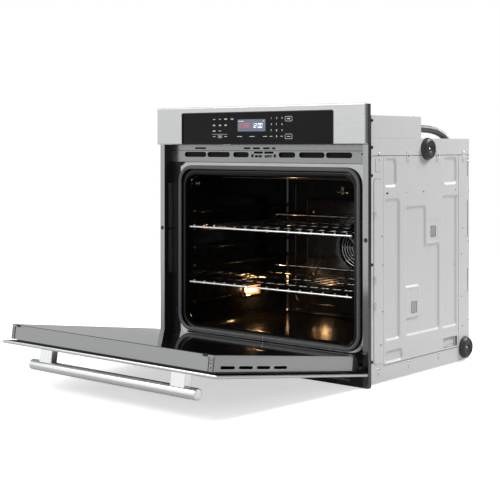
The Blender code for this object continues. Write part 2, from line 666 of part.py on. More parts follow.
# ---------------------------------------------------------------- supply conduit
ROUTE = (
    # by hand: out of the cover, over and down behind the side rail, then flat on the top plate
    (0.3250, 0.3100, 0.6800), (0.3255, 0.3500, 0.6795), (0.3265, 0.4000, 0.6770),
    (0.3280, 0.4400, 0.6700), (0.3290, 0.4740, 0.6560), (0.3240, 0.5030, 0.6350),
    (0.3060, 0.5260, 0.6150), (0.2720, 0.5390, 0.6040), (0.2300, 0.5420, 0.6020),
    (0.1500, 0.5420, 0.6020), (0.0500, 0.5400, 0.6020), (-0.0500, 0.5360, 0.6020),
    (-0.1500, 0.5270, 0.6020), (-0.2100, 0.5050, 0.6020), (-0.2450, 0.4650, 0.6020),
    (-0.2500, 0.4150, 0.6020), (-0.2200, 0.3700, 0.6020), (-0.1650, 0.3450, 0.6020),
    (-0.1000, 0.3380, 0.6020), (0.0000, 0.3380, 0.6030), (0.0700, 0.3380, 0.6044),
    (0.1193, 0.3380, 0.6048),
)


def smooth_route(points, spacing):
    """Evenly spaced points on a Catmull-Rom curve through the route."""
    points = [Vector(p) for p in points]
    padded = [points[0] * 2 - points[1]] + points + [points[-1] * 2 - points[-2]]
    dense = []
    for a, b, c, d in zip(padded, padded[1:], padded[2:], padded[3:]):
        for i in range(20):
            t = i / 20
            dense.append(0.5 * ((2 * b) + (c - a) * t + (2 * a - 5 * b + 4 * c - d) * t ** 2
                                + (3 * b - a - 3 * c + d) * t ** 3))
    dense.append(points[-1])
    length = sum((q - p).length for p, q in zip(dense, dense[1:]))
    count = max(2, round(length / spacing))
    found, walked, target = [dense[0]], 0.0, length / count
    for p, q in zip(dense, dense[1:]):
        step = (q - p).length
        while walked + step >= target and len(found) < count:
            found.append(p.lerp(q, (target - walked) / step))
            target += length / count
        walked += step
    found.append(dense[-1])
    return found


def supply_conduit(mats):
    curve = bpy.data.curves.new("supply_conduit", "CURVE")
    curve.dimensions = "3D"
    curve.bevel_depth = CONDUIT_R
    curve.bevel_resolution = 2
    curve.use_fill_caps = True
    points = smooth_route(ROUTE, 4.4 * CONDUIT_R)
    spline = curve.splines.new("POLY")
    spline.points.add(len(points) - 1)
    for point, co in zip(spline.points, points):
        point.co = (*co, 1)
    conduit = bpy.data.objects.new("supply_conduit", curve)
    curve.materials.append(mats["aluminium"])
    PARTS.objects.link(conduit)

    gland = cylinder("conduit_gland", 0.0135, "Y", (0.325, BOX_BACK + GAP + 0.0075, 0.680), 0.0144,
                     mats["aluminium"], 16)
    nut = cylinder("gland_nut", 0.0165, "Y", (0.325, BOX_BACK + GAP + 0.0020, 0.680), 0.0034, sides=6)
    join(gland, nut)
    fitting = cylinder("conduit_fitting", 0.0130, "X", (0.1383, 0.3380, 0.6048), 0.0360,
                       mats["aluminium"], 16)
    cut(fitting, cylinder("fitting_bore", 0.0075, "X", (0.1540, 0.3380, 0.6048), 0.020, sides=12))


# ---------------------------------------------------------------- door, built shut
def notched(name, inset, y, mat=None):
    """A slab of the door body's outline, with its lower corners left free for the hinges."""
    x, notch, step = DOOR_X - inset, NOTCH_X - inset, NOTCH_Z + inset
    slab = box(name, (-x, x), y, (DOOR_Z[0] + inset, DOOR_Z[1] - inset), mat)
    corners = [(side_span(side, notch, HALF_W), (-0.1, 0.1), (0.0, step)) for side in (-1, 1)]
    return cut(slab, boxes(name + "_notch", corners))


def door(mats):
    """Skin, panes and folded body of the door; returns its objects."""
    before = set(bpy.data.objects)
    skin = box("door_skin", (-HALF_W, HALF_W), SKIN_Y, SKIN_Z, mats["brushed"], bevel=0.0025, segments=2)
    tray = box("skin_hollow", (-HALF_W + 0.0015, HALF_W - 0.0015), (SKIN_Y[0] + 0.0015, 0.01),
               (SKIN_Z[0] + 0.0015, SKIN_Z[1] - 0.0015))
    window = flat("skin_window", [round_rect((-0.250, 0.250), (0.150, 0.520), 0.010, 3)],
                  "XZ", (-0.02, 0.01))
    cut(skin, tray, window)
    flat("door_outer_glass", [round_rect((-0.265, 0.265), (0.135, 0.535), 0.012, 3)], "XZ",
         (SKIN_Y[0] + 0.0015 + GAP, SKIN_Y[0] + 0.0015 + GAP + GLASS_T), mats["glass"])

    flat("door_spacer", [rectangle((-0.339, 0.339), (0.056, 0.612)),
                         rectangle((-0.244, 0.244), (0.156, 0.514))], "XZ",
         (SKIN_Y[0] + 0.0015 + 2 * GAP + GLASS_T, DOOR_Y[0] - GAP), mats["black"])

    body = notched("door_body", 0, DOOR_Y, mats["grey_steel"])
    inside = notched("body_hollow", SHEET, (DOOR_Y[0] + SHEET, 0.05))
    hole = flat("body_window", [rectangle((-0.244, 0.244), (0.156, 0.514))], "XZ", (-0.01, 0.02))
    slots = []
    for i in range(4):
        middle = 0.5695 - 0.0643 * i
        slots.append(round_rect((0.0088, 0.0162), (middle - 0.025, middle + 0.025), 0.0036, 2))
    cut(body, inside, hole, flat("body_slots", slots, "YZ", (-0.4, 0.4)))

    inner_x = DOOR_X - SHEET - GAP
    flat("door_middle_glass", [rectangle((-inner_x, inner_x), (NOTCH_Z + 0.004, DOOR_Z[1] - SHEET - GAP))],
         "XZ", (0.0180, 0.0180 + GLASS_T), mats["glass"])
    notched("door_inner_glass", 0.001, (DOOR_Y[1] + GAP, DOOR_Y[1] + GAP + GLASS_T), mats["glass"])

    for name, side in SIDES:
        post = box("handle_post_" + name, (side * POST_X - 0.023, side * POST_X + 0.023),
                   (HANDLE_Y + 0.006, SKIN_Y[0] - GAP), (HANDLE_Z - 0.0105, HANDLE_Z + 0.0105),
                   mats["brushed"], bevel=0.0010, segments=1)
        cut(post, cylinder("post_seat_" + name, HANDLE_R + GAP, "X", (side * POST_X, HANDLE_Y, HANDLE_Z),
                           0.08, sides=32))
    end = HANDLE_HALF
    profile = [(0.0, end), (HANDLE_R - 0.002, end), (HANDLE_R, end - 0.002),
               (HANDLE_R, -end + 0.002), (HANDLE_R - 0.002, -end), (0.0, -end)]
    turn = Matrix.Translation((0, HANDLE_Y, HANDLE_Z)) @ Matrix.Rotation(pi / 2, 4, "Y")
    turned("handle_bar", profile, turn, mats["brushed"], 24)

    for name, side in SIDES:
        lever = [(DOOR_Y[0] - 0.0030, NOTCH_Z - GAP), (DOOR_Y[1] + 0.0030, NOTCH_Z - GAP),
                 (DOOR_Y[1] + 0.0030, 0.0620), (0.0150, 0.0440), (0.0080, 0.0425), (0.0000, 0.0425),
                 (-0.0010, 0.0450)]
        flat("hinge_arm_" + name, [lever, circle(HINGE_Y, HINGE_Z, 0.0028, 10)], "YZ",
             side_span(side, NOTCH_X + 0.0015, 0.3525), mats["black"])
    return [obj for obj in bpy.data.objects if obj not in before]


def hinge_brackets(mats):
    """Fixed side of the hinges: a plate on the front frame with the pivot pin."""
    for name, side in SIDES:
        plate = flat("hinge_bracket_" + name,
                     [[(FRAME_Y - GAP, 0.0340), (FRAME_Y - GAP, 0.0740), (0.0430, 0.0740),
                       (0.0250, 0.0520), (0.0060, 0.0515), (0.0000, 0.0500), (-0.0008, 0.0470),
                       (0.0000, 0.0435), (0.0140, 0.0420), (0.0340, 0.0340)]], "YZ",
                     side_span(side, 0.3530, 0.3570), mats["black"])
        join(plate, cylinder("pin_" + name, 0.0025, "X", (side * 0.3490, HINGE_Y, HINGE_Z), 0.0120,
                             sides=10))


# ---------------------------------------------------------------- assembly
def swing(objects, angle):
    """Parent the door to an empty on the hinge axis and turn it open."""
    axis = bpy.data.objects.new("door_axis", None)
    PARTS.objects.link(axis)
    axis.location = (0, HINGE_Y, HINGE_Z)
    bpy.context.view_layer.update()
    for obj in objects:
        obj.parent = axis
        obj.matrix_parent_inverse = Matrix.Translation((0, -HINGE_Y, -HINGE_Z))
    axis.rotation_euler.x = angle


def main():
    mats = make_materials()
    control_panel(mats)
    front_trims(mats)
    front_frame(mats)
    cavity(mats)
    rack_guides(mats)
    heating(mats)
    convection_fan(mats)
    cavity_fittings(mats)
    rack("upper_rack", UPPER_LEVEL, mats["chrome"])
    rack("lower_rack", LOWER_LEVEL, mats["chrome"])
    body_sides(mats)
    body_closures(mats)
    cooling_blower(mats)
    bumpers(mats)
    supply_conduit(mats)
    hinge_brackets(mats)
    swing(door(mats), DOOR_OPEN)
    for obj in bpy.data.objects:
        if obj.parent is None:
            obj.location.y -= FRONT_TO_BASE


for old in list(bpy.data.objects):
    bpy.data.objects.remove(old)
PARTS = bpy.data.collections.new("wall_oven")
CUTTERS = bpy.data.collections.new("cutters")
bpy.context.scene.collection.children.link(PARTS)
bpy.context.scene.collection.children.link(CUTTERS)
main()
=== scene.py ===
# %% [markdown]
# A built-in wall oven, finished in Blender
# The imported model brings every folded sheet, rod and pane at its real size. What is left is
# what a finisher would do on the bench: grain, enamel and braid on the surfaces, and the small
# pieces that are too fine for the frame, such as screws, printed keys and a corrugated conduit.

# %% Load the frame
import json
from math import cos, pi, radians, sin, tau

import bmesh
import bpy
import numpy as np
from mathutils import Matrix, Vector


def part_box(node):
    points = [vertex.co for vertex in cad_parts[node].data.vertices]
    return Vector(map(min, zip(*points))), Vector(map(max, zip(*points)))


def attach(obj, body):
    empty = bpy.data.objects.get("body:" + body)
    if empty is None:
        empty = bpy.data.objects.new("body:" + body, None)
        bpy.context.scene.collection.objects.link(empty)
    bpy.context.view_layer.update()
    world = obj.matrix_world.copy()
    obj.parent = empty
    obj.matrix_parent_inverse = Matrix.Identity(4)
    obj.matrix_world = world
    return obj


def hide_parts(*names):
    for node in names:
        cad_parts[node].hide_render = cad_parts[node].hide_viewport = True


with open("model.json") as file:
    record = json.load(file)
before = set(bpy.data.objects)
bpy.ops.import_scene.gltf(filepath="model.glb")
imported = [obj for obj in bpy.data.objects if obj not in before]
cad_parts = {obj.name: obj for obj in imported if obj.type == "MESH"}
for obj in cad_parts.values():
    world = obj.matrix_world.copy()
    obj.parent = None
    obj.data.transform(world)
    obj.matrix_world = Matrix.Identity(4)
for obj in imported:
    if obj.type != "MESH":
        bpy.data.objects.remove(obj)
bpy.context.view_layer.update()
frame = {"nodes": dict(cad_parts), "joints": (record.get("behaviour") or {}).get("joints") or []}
NODES = frame["nodes"]
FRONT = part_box("control_fascia")[0].y
SIDES = (("left", -1), ("right", 1))
print("nodes", len(NODES), "front plane at y", round(FRONT, 4))

# %% [markdown]
# Camera
# The oven stands a little below eye level and is seen from its right. A long lens keeps the
# upright edges upright, and the level camera is framed by shifting the lens, as on a view camera.

# %% Camera
camera_data = bpy.data.cameras.new("camera")
camera_data.lens = 84.8
camera_data.sensor_width = 36.0
camera_data.shift_y = -0.2088
camera = bpy.data.objects.new("camera", camera_data)
camera.location = (2.1186, -2.8144, 0.6314)
camera.rotation_euler = (pi / 2, 0, 0.7031)
bpy.context.scene.collection.objects.link(camera)
bpy.context.scene.camera = camera
print("camera", tuple(round(value, 3) for value in camera.location), camera_data.lens, "mm")


# %% [markdown]
# Making meshes
# A few small makers cover the whole oven. Rods follow lines of points, a lathe turns a profile, a
# plate is an outline with holes and a thickness, and a block is a box with softened edges. Then
# copies places one mesh many times, and joined makes several meshes one. All work in metres.

# %% Rods
def as_mesh(made, name):
    """Turns a finished bmesh into a mesh."""
    mesh = bpy.data.meshes.new(name)
    made.to_mesh(mesh)
    made.free()
    return mesh


def bridge(made, rings, inward=False):
    """Fills the gap between each ring of corners and the next with faces."""
    for first, second in zip(rings, rings[1:]):
        for j in range(len(first)):
            k = (j + 1) % len(first)
            corners = (first[j], first[k], second[k], second[j])
            made.faces.new((corners[0],) + corners[:0:-1] if inward else corners)


def from_curve(curve):
    """The mesh that a curve makes, with the curve itself removed."""
    temp = bpy.data.objects.new("temp", curve)
    bpy.context.scene.collection.objects.link(temp)
    graph = bpy.context.evaluated_depsgraph_get()
    mesh = bpy.data.meshes.new_from_object(temp.evaluated_get(graph))
    bpy.data.objects.remove(temp)
    bpy.data.curves.remove(curve)
    weld = bmesh.new()
    weld.from_mesh(mesh)
    bmesh.ops.remove_doubles(weld, verts=weld.verts, dist=0.00002)
    weld.to_mesh(mesh)
    weld.free()
    return mesh


def rods(lines, radius, resolution=3, closed=False):
    """Round rods along lists of points."""
    curve = bpy.data.curves.new("rods", "CURVE")
    curve.dimensions = "3D"
    curve.bevel_depth = radius
    curve.bevel_resolution = resolution
    curve.use_fill_caps = not closed
    for points in lines:
        spline = curve.splines.new("POLY")
        spline.points.add(len(points) - 1)
        spline.use_cyclic_u = closed
        for point, place in zip(spline.points, points):
            point.co = (*place, 1)
    return from_curve(curve)


# %% Plates
# Each matrix lays an outline drawn in x and y onto a wall of the oven.
FACING = {
    "front": Matrix(((1, 0, 0, 0), (0, 0, -1, 0), (0, 1, 0, 0), (0, 0, 0, 1))),
    "side": Matrix(((0, 0, 1, 0), (1, 0, 0, 0), (0, 1, 0, 0), (0, 0, 0, 1))),
    "top": Matrix.Identity(4),
}


def plate(outlines, facing, span, bevel=0.0):
    """Outlines, the outer one first and then its holes, given a thickness across span."""
    curve = bpy.data.curves.new("plate", "CURVE")
    curve.dimensions = "2D"
    curve.fill_mode = "BOTH"
    curve.extrude = (span[1] - span[0]) / 2 - bevel
    curve.bevel_depth = bevel
    curve.bevel_resolution = 1
    curve.offset = -bevel
    for outline in outlines:
        spline = curve.splines.new("POLY")
        spline.points.add(len(outline) - 1)
        spline.use_cyclic_u = True
        for point, (a, b) in zip(spline.points, outline):
            point.co = (a, b, 0, 1)
    mesh = from_curve(curve)
    middle = (span[0] + span[1]) / 2
    shift = {"front": (0, middle, 0), "side": (middle, 0, 0), "top": (0, 0, middle)}[facing]
    mesh.transform(Matrix.Translation(shift) @ FACING[facing])
    return mesh


# %% Lathe and block
def lathe(profile, steps=48):
    """A profile of (radius, height) points turned about Z."""
    made = bmesh.new()
    corners = [made.verts.new((r, 0, h)) for r, h in profile]
    edges = [made.edges.new(pair) for pair in zip(corners, corners[1:])]
    bmesh.ops.spin(made, geom=corners + edges, cent=(0, 0, 0), axis=(0, 0, 1), angle=tau,
                   steps=steps, use_merge=True)
    bmesh.ops.remove_doubles(made, verts=made.verts, dist=0.00001)
    bmesh.ops.recalc_face_normals(made, faces=made.faces)
    return as_mesh(made, "lathe")


def block(x, y, z, bevel=0.0005, segments=2):
    """A box between two limits on each axis, with softened edges."""
    made = bmesh.new()
    bmesh.ops.create_cube(made, size=1.0)
    bmesh.ops.scale(made, vec=(x[1] - x[0], y[1] - y[0], z[1] - z[0]), verts=made.verts)
    centre = ((x[0] + x[1]) / 2, (y[0] + y[1]) / 2, (z[0] + z[1]) / 2)
    bmesh.ops.translate(made, vec=centre, verts=made.verts)
    if bevel:
        bmesh.ops.bevel(made, geom=made.edges, offset=bevel, segments=segments, affect="EDGES")
    return as_mesh(made, "block")


# %% Copies, joins and finished pieces
def copies(mesh, matrices):
    """One mesh that holds a copy of another at each matrix."""
    made = bmesh.new()
    for matrix in matrices:
        part = mesh.copy()
        part.transform(matrix)
        if matrix.determinant() < 0:
            part.flip_normals()
        made.from_mesh(part)
        bpy.data.meshes.remove(part)
    return as_mesh(made, "copies")


def joined(*meshes):
    """Several meshes as one."""
    made = bmesh.new()
    for mesh in meshes:
        made.from_mesh(mesh)
    return as_mesh(made, "joined")


def piece(name, mesh, finish, body, *stands_for, sharp=40):
    """A finished piece that rides on a body and may stand for nodes of the frame."""
    mesh.name = name
    mesh.materials.clear()
    mesh.materials.append(finish)
    mesh.shade_smooth()
    mesh.set_sharp_from_angle(angle=radians(sharp))
    made = bpy.data.objects.new(name, mesh)
    bpy.context.scene.collection.objects.link(made)
    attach(made, body)
    if stands_for:
        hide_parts(*stands_for)
    return made


# %% Outlines and spans
def span_on(side, near, far):
    """Two distances from the oven's middle as limits in x; side is -1 for left and 1 for right."""
    return tuple(sorted((side * near, side * far)))


def rectangle(a, b):
    """A plain rectangle between limits a and b."""
    return [(a[0], b[0]), (a[1], b[0]), (a[1], b[1]), (a[0], b[1])]


def round_rect(a, b, radius, steps=6):
    """A rectangle between limits a and b with quarter-circle corners."""
    centres = ((a[1] - radius, b[1] - radius), (a[0] + radius, b[1] - radius),
               (a[0] + radius, b[0] + radius), (a[1] - radius, b[0] + radius))
    points = []
    for quarter, (x, y) in enumerate(centres):
        for i in range(steps + 1):
            angle = (quarter + i / steps) * pi / 2
            points.append((x + radius * cos(angle), y + radius * sin(angle)))
    return points


def circle(x, y, radius, sides=16):
    """A circle about a point, as a polygon."""
    return [(x + radius * cos(tau * i / sides), y + radius * sin(tau * i / sides))
            for i in range(sides)]


# %% [markdown]
# Shared surface effects
# Four effects come back on many pieces, so each is a node group. Grain is the long fine scratch
# that a belt leaves on stainless steel. Mottle is slow cloudy change, from handling and rolling.
# Grit is the tiny unevenness of paint, castings and felt. Spangle is the faint crystal pattern of
# zinc. Noise stretched along one axis makes a better grain than stripes, because it never repeats.

# %% Node groups
def new_group(name, inputs, outputs):
    """An empty group with named sockets; returns the group, its input node and its output node."""
    group = bpy.data.node_groups.new(name, "ShaderNodeTree")
    for label, kind, value in inputs:
        socket = group.interface.new_socket(name=label, in_out="INPUT", socket_type=kind)
        socket.default_value = value
    for label, kind in outputs:
        group.interface.new_socket(name=label, in_out="OUTPUT", socket_type=kind)
    return group, group.nodes.new("NodeGroupInput"), group.nodes.new("NodeGroupOutput")


def stretched_noise(group, scale_from, detail):
    """Noise in the object's own space, with its scale on each axis taken from a socket."""
    place = group.nodes.new("ShaderNodeTexCoord")
    stretch = group.nodes.new("ShaderNodeVectorMath")
    stretch.operation = "MULTIPLY"
    noise = group.nodes.new("ShaderNodeTexNoise")
    noise.inputs["Scale"].default_value = 1.0
    noise.inputs["Detail"].default_value = detail
    group.links.new(place.outputs["Object"], stretch.inputs[0])
    group.links.new(scale_from, stretch.inputs[1])
    group.links.new(stretch.outputs[0], noise.inputs["Vector"])
    return noise


def between(group, mask, low, high, kind="FLOAT"):
    """Mixes two sockets of the group by a mask."""
    mix = group.nodes.new("ShaderNodeMix")
    mix.data_type = kind
    slots = {"FLOAT": (2, 3, 0), "RGBA": (6, 7, 2)}[kind]
    group.links.new(mask, mix.inputs["Factor"])
    group.links.new(low, mix.inputs[slots[0]])
    group.links.new(high, mix.inputs[slots[1]])
    return mix.outputs[slots[2]]


def contrast(group, value, low, high):
    """Spreads the middle of a noise over the whole range from 0 to 1."""
    ramp = group.nodes.new("ShaderNodeMapRange")
    ramp.inputs["From Min"].default_value = low
    ramp.inputs["From Max"].default_value = high
    group.links.new(value, ramp.inputs["Value"])
    return ramp.outputs["Result"]


def bump(group, height, depth):
    """A normal from a height, with its strength from a socket."""
    node = group.nodes.new("ShaderNodeBump")
    node.inputs["Distance"].default_value = 0.0004
    group.links.new(depth, node.inputs["Strength"])
    group.links.new(height, node.inputs["Height"])
    return node.outputs["Normal"]


def effect_group(name, stretch, detail, spread):
    """Colour, roughness and normal that all follow one stretched noise."""
    inputs = [("Stretch", "NodeSocketVector", stretch),
              ("Dark", "NodeSocketColor", (0.4, 0.4, 0.4, 1)),
              ("Light", "NodeSocketColor", (0.6, 0.6, 0.6, 1)),
              ("Smooth", "NodeSocketFloat", 0.3), ("Rough", "NodeSocketFloat", 0.4),
              ("Depth", "NodeSocketFloat", 0.1)]
    outputs = [("Colour", "NodeSocketColor"), ("Roughness", "NodeSocketFloat"),
               ("Normal", "NodeSocketVector")]
    group, given, result = new_group(name, inputs, outputs)
    noise = stretched_noise(group, given.outputs["Stretch"], detail)
    mask = contrast(group, noise.outputs["Fac"], *spread)
    group.links.new(between(group, mask, given.outputs["Dark"], given.outputs["Light"], "RGBA"),
                    result.inputs["Colour"])
    group.links.new(between(group, mask, given.outputs["Smooth"], given.outputs["Rough"]),
                    result.inputs["Roughness"])
    group.links.new(bump(group, mask, given.outputs["Depth"]), result.inputs["Normal"])
    return group


# %% Grain, mottle, grit and spangle
GRAIN = effect_group("grain", (9, 1500, 1500), 2.0, (0.30, 0.70))
MOTTLE = effect_group("mottle", (14, 14, 14), 4.0, (0.35, 0.65))
GRIT = effect_group("grit", (900, 900, 900), 3.0, (0.25, 0.75))


def spangle_group():
    """Zinc crystals: each cell of a Voronoi pattern has its own shade."""
    inputs = [("Size", "NodeSocketFloat", 140.0),
              ("Dark", "NodeSocketColor", (0.5, 0.5, 0.5, 1)),
              ("Light", "NodeSocketColor", (0.6, 0.6, 0.6, 1)),
              ("Smooth", "NodeSocketFloat", 0.35), ("Rough", "NodeSocketFloat", 0.5)]
    outputs = [("Colour", "NodeSocketColor"), ("Roughness", "NodeSocketFloat")]
    group, given, result = new_group("spangle", inputs, outputs)
    place = group.nodes.new("ShaderNodeTexCoord")
    cells = group.nodes.new("ShaderNodeTexVoronoi")
    group.links.new(place.outputs["Object"], cells.inputs["Vector"])
    group.links.new(given.outputs["Size"], cells.inputs["Scale"])
    shade = group.nodes.new("ShaderNodeSeparateColor")
    group.links.new(cells.outputs["Color"], shade.inputs["Color"])
    mask = shade.outputs["Red"]
    group.links.new(between(group, mask, given.outputs["Dark"], given.outputs["Light"], "RGBA"),
                    result.inputs["Colour"])
    group.links.new(between(group, mask, given.outputs["Smooth"], given.outputs["Rough"]),
                    result.inputs["Roughness"])
    return group


SPANGLE = spangle_group()
print("effects", GRAIN.name, MOTTLE.name, GRIT.name, SPANGLE.name)


# %% [markdown]
# Finishes
# A finish is one Principled shader with one or two effects plugged in. Numbers that are the same
# all over, such as metallic or coat, sit on the shader's own sockets. The two shades of each
# finish are close together: real sheet changes shade by a few per cent and not by a half.

# %% Finish maker
def grey(value, tint=(1.0, 1.0, 1.0)):
    """A neutral colour, or one that leans a little towards a tint."""
    return (value * tint[0], value * tint[1], value * tint[2], 1.0)


def finish(name, effect, dark, light, smooth, rough, metallic=0.0, depth=None, stretch=None,
           **shader):
    """A material that takes its colour, roughness and perhaps its normal from an effect."""
    material = bpy.data.materials.new(name)
    material.use_nodes = True
    nodes, links = material.node_tree.nodes, material.node_tree.links
    skin = nodes["Principled BSDF"]
    skin.inputs["Metallic"].default_value = metallic
    for label, value in shader.items():
        skin.inputs[label.replace("_", " ")].default_value = value
    node = nodes.new("ShaderNodeGroup")
    node.node_tree = effect
    node.inputs["Dark"].default_value = dark
    node.inputs["Light"].default_value = light
    node.inputs["Smooth"].default_value = smooth
    node.inputs["Rough"].default_value = rough
    if stretch is not None:
        node.inputs["Stretch"].default_value = stretch
    links.new(node.outputs["Colour"], skin.inputs["Base Color"])
    links.new(node.outputs["Roughness"], skin.inputs["Roughness"])
    if depth is not None:
        node.inputs["Depth"].default_value = depth
        links.new(node.outputs["Normal"], skin.inputs["Normal"])
    return material


def second_normal(material, effect, stretch, depth):
    """Lets another effect roughen a finish whose first effect gives only colour."""
    nodes, links = material.node_tree.nodes, material.node_tree.links
    node = nodes.new("ShaderNodeGroup")
    node.node_tree = effect
    node.inputs["Stretch"].default_value = stretch
    node.inputs["Depth"].default_value = depth
    links.new(node.outputs["Normal"], nodes["Principled BSDF"].inputs["Normal"])
    return material


# %% Steel finishes
ALONG_X = (9, 1500, 1500)
ALONG_Z = (1500, 1500, 9)
FINE_CLOUD = (60, 60, 60)
brushed = finish("brushed_steel", GRAIN, grey(0.56), grey(0.61), 0.24, 0.32, 1.0, 0.04, ALONG_X)
# The side trims are the fascia's brushed steel made darker: painted shade.
brushed_up_painted_shade = finish("brushed_steel_upright_painted_shade", GRAIN, grey(0.36), grey(0.41), 0.10, 0.16, 1.0, 0.04,
                    ALONG_Z)
polished = finish("polished_steel", GRAIN, grey(0.88), grey(0.93), 0.12, 0.18, 1.0, 0.03, ALONG_X)
galvanised = second_normal(
    finish("galvanised_steel", SPANGLE, grey(0.59), grey(0.61), 0.42, 0.46, 0.20),
    MOTTLE, (8, 8, 8), 0.02)
painted = finish("grey_painted_steel", GRIT, grey(0.35), grey(0.37), 0.30, 0.36, 0.9, 0.03)
trim_grey = finish("vent_trim_steel", GRAIN, grey(0.29), grey(0.32), 0.20, 0.26, 0.9, 0.03,
                   ALONG_X)
# Steel darkened to 0.07–0.09 as painted shade, for the bottom trim, the side trims' outer edges and
# the front screws.
painted_shade_steel = finish("dark_steel_painted_shade", GRAIN, grey(0.070), grey(0.090), 0.24, 0.32, 0.9, 0.03,
                   ALONG_X)
grille_steel = finish("grille_steel", GRAIN, grey(0.20), grey(0.28), 0.35, 0.45, 0.8, 0.08,
                      ALONG_Z)
spiral = finish("conduit_strip", GRAIN, grey(0.15), grey(0.20), 0.36, 0.46, 0.8, 0.08,
                (300, 300, 300))
zinc = finish("zinc_plate", MOTTLE, grey(0.62), grey(0.75), 0.18, 0.30, 1.0, 0.05, (220, 220, 220))
chrome = finish("chromed_wire", MOTTLE, grey(0.72, (1, 0.99, 0.97)), grey(0.80, (1, 0.99, 0.97)),
                0.10, 0.18, 1.0, 0.03, FINE_CLOUD)
# One plated steel in three finishes: the wires darker as painted shade, the rail and weld pips
# brighter as painted highlight.
painted_shade_wire = finish("rack_wire_painted_shade", MOTTLE, grey(0.26), grey(0.34), 0.12, 0.20, 1.0, 0.03, FINE_CLOUD)
rail = finish("rack_rail_painted_highlight", MOTTLE, grey(0.80), grey(0.88), 0.14, 0.20, 0.8, 0.03, FINE_CLOUD)
weld_painted_highlight = finish("weld_pips_painted_highlight", MOTTLE, grey(0.86), grey(0.92), 0.20, 0.30, 0.3, 0.03,
                     FINE_CLOUD)
# Guard rings made lighter than they are, as painted highlight.
guard_wire_painted_highlight = finish("guard_wire_painted_highlight", MOTTLE, grey(0.42), grey(0.52), 0.16, 0.24, 0.85, 0.03,
                    FINE_CLOUD)
sheath = finish("element_sheath", MOTTLE, grey(0.05, (1, 0.9, 0.8)), grey(0.12, (1, 0.93, 0.85)),
                0.38, 0.55, 0.7, 0.10, (70, 70, 70))
cast = finish("cast_aluminium", GRIT, grey(0.56), grey(0.66), 0.34, 0.46, 1.0, 0.20)

# %% [markdown]
# Enamel, plastic, glass and felt
# Porcelain enamel is glass fused on steel: almost black, glossy, with a slow orange-peel wave.
# Moulded plastic is matt with a fine grain. Door glass is a plain dark pane whose shine comes
# from its edge-on reflection. The gasket is glass-fibre braid, so it is rough all over.

# %% Enamel, plastic and glass
WARM_BLACK = (1.15, 1, 0.9)
ORANGE_PEEL = (45, 45, 45)
enamel = finish("porcelain_enamel", MOTTLE, grey(0.0035, WARM_BLACK), grey(0.0060, WARM_BLACK),
                0.10, 0.16, 0.0, 0.05, ORANGE_PEEL)
# The fan cover's enamel is the liner's enamel made lighter, as painted light.
cover_enamel_painted_light = finish("cover_enamel_painted_light", MOTTLE, grey(0.010, WARM_BLACK), grey(0.014, WARM_BLACK),
                      0.16, 0.24, 0.0, 0.05, ORANGE_PEEL)
mouth_enamel = finish("mouth_enamel", MOTTLE, grey(0.0035), grey(0.0060), 0.14, 0.20, 0.0, 0.04,
                      ORANGE_PEEL, Specular_IOR_Level=0.22)
flange = finish("flange_enamel", MOTTLE, grey(0.45), grey(0.49), 0.07, 0.11, 1.0, 0.02,
                (20, 20, 20))
matt_black = finish("moulded_black", GRIT, grey(0.012), grey(0.022), 0.42, 0.56, 0.0, 0.25)
satin_black = finish("black_steel", GRIT, grey(0.014), grey(0.024), 0.24, 0.34, 0.3, 0.08)
rubber = finish("disc_rubber", GRIT, grey(0.010), grey(0.022), 0.36, 0.50, 0.0, 0.30,
                Coat_Weight=0.15, Coat_Roughness=0.3)
pane = finish("dark_pane", MOTTLE, grey(0.004), grey(0.007), 0.025, 0.05, 0.0, stretch=(6, 6, 6),
              IOR=1.52)
touch_glass = finish("control_glass", MOTTLE, grey(0.007), grey(0.009), 0.10, 0.15, 0.0,
                     stretch=(9, 9, 9), Specular_IOR_Level=0.12)
braid = finish("gasket_braid", GRIT, grey(0.075), grey(0.150), 0.70, 0.90, 0.0, 0.9,
               (520, 520, 520))
wool = finish("glass_wool", GRIT, grey(0.55, (1, 0.92, 0.62)), grey(0.75, (1, 0.93, 0.66)),
              0.9, 1.0, 0.0, 0.9, (260, 260, 260))
board = finish("circuit_board", MOTTLE, (0.008, 0.08, 0.03, 1), (0.015, 0.13, 0.05, 1), 0.3, 0.45,
               0.0, 0.10, (180, 180, 180))
# Black for painted shade: holes, open seams, gaps and shadow lines.
painted_shade_black = finish("hole_shadow", GRIT, grey(0.003), grey(0.006), 0.85, 0.95)
print("finishes", len(bpy.data.materials))


# %% [markdown]
# Things that light up
# The lamp cover, the clock and the printed marks are the only pieces with their own brightness.
# Printed ink isn't a lamp, but the panel is lit from behind, so a little emission keeps it crisp.

# %% Glowing finishes
def glowing(name, colour, strength, effect=MOTTLE, spread=0.12):
    """A finish whose emission varies a little over the surface."""
    dim = tuple(channel * (1 - spread) for channel in colour[:3]) + (1.0,)
    material = finish(name, effect, dim, colour, 0.35, 0.45, 0.0, stretch=(300, 300, 300))
    nodes, links = material.node_tree.nodes, material.node_tree.links
    skin = nodes["Principled BSDF"]
    skin.inputs["Emission Strength"].default_value = strength
    links.new(nodes["Group"].outputs["Colour"], skin.inputs["Emission Color"])
    return material


ink = glowing("printed_ink", (0.78, 0.78, 0.80, 1), 0.30)
clock_panel = glowing("clock_panel", (0.10, 0.115, 0.165, 1), 0.60)
clock_white = glowing("clock_white", (0.86, 0.90, 1.0, 1), 1.0)
clock_red = glowing("clock_red", (0.80, 0.09, 0.08, 1), 0.60)
lamp_lens = glowing("lamp_lens", (0.16, 0.07, 0.018, 1), 0.9)
lamp_core = glowing("lamp_core", (1.0, 0.74, 0.42, 1), 9.0)
print("finishes with the glowing ones", len(bpy.data.materials))


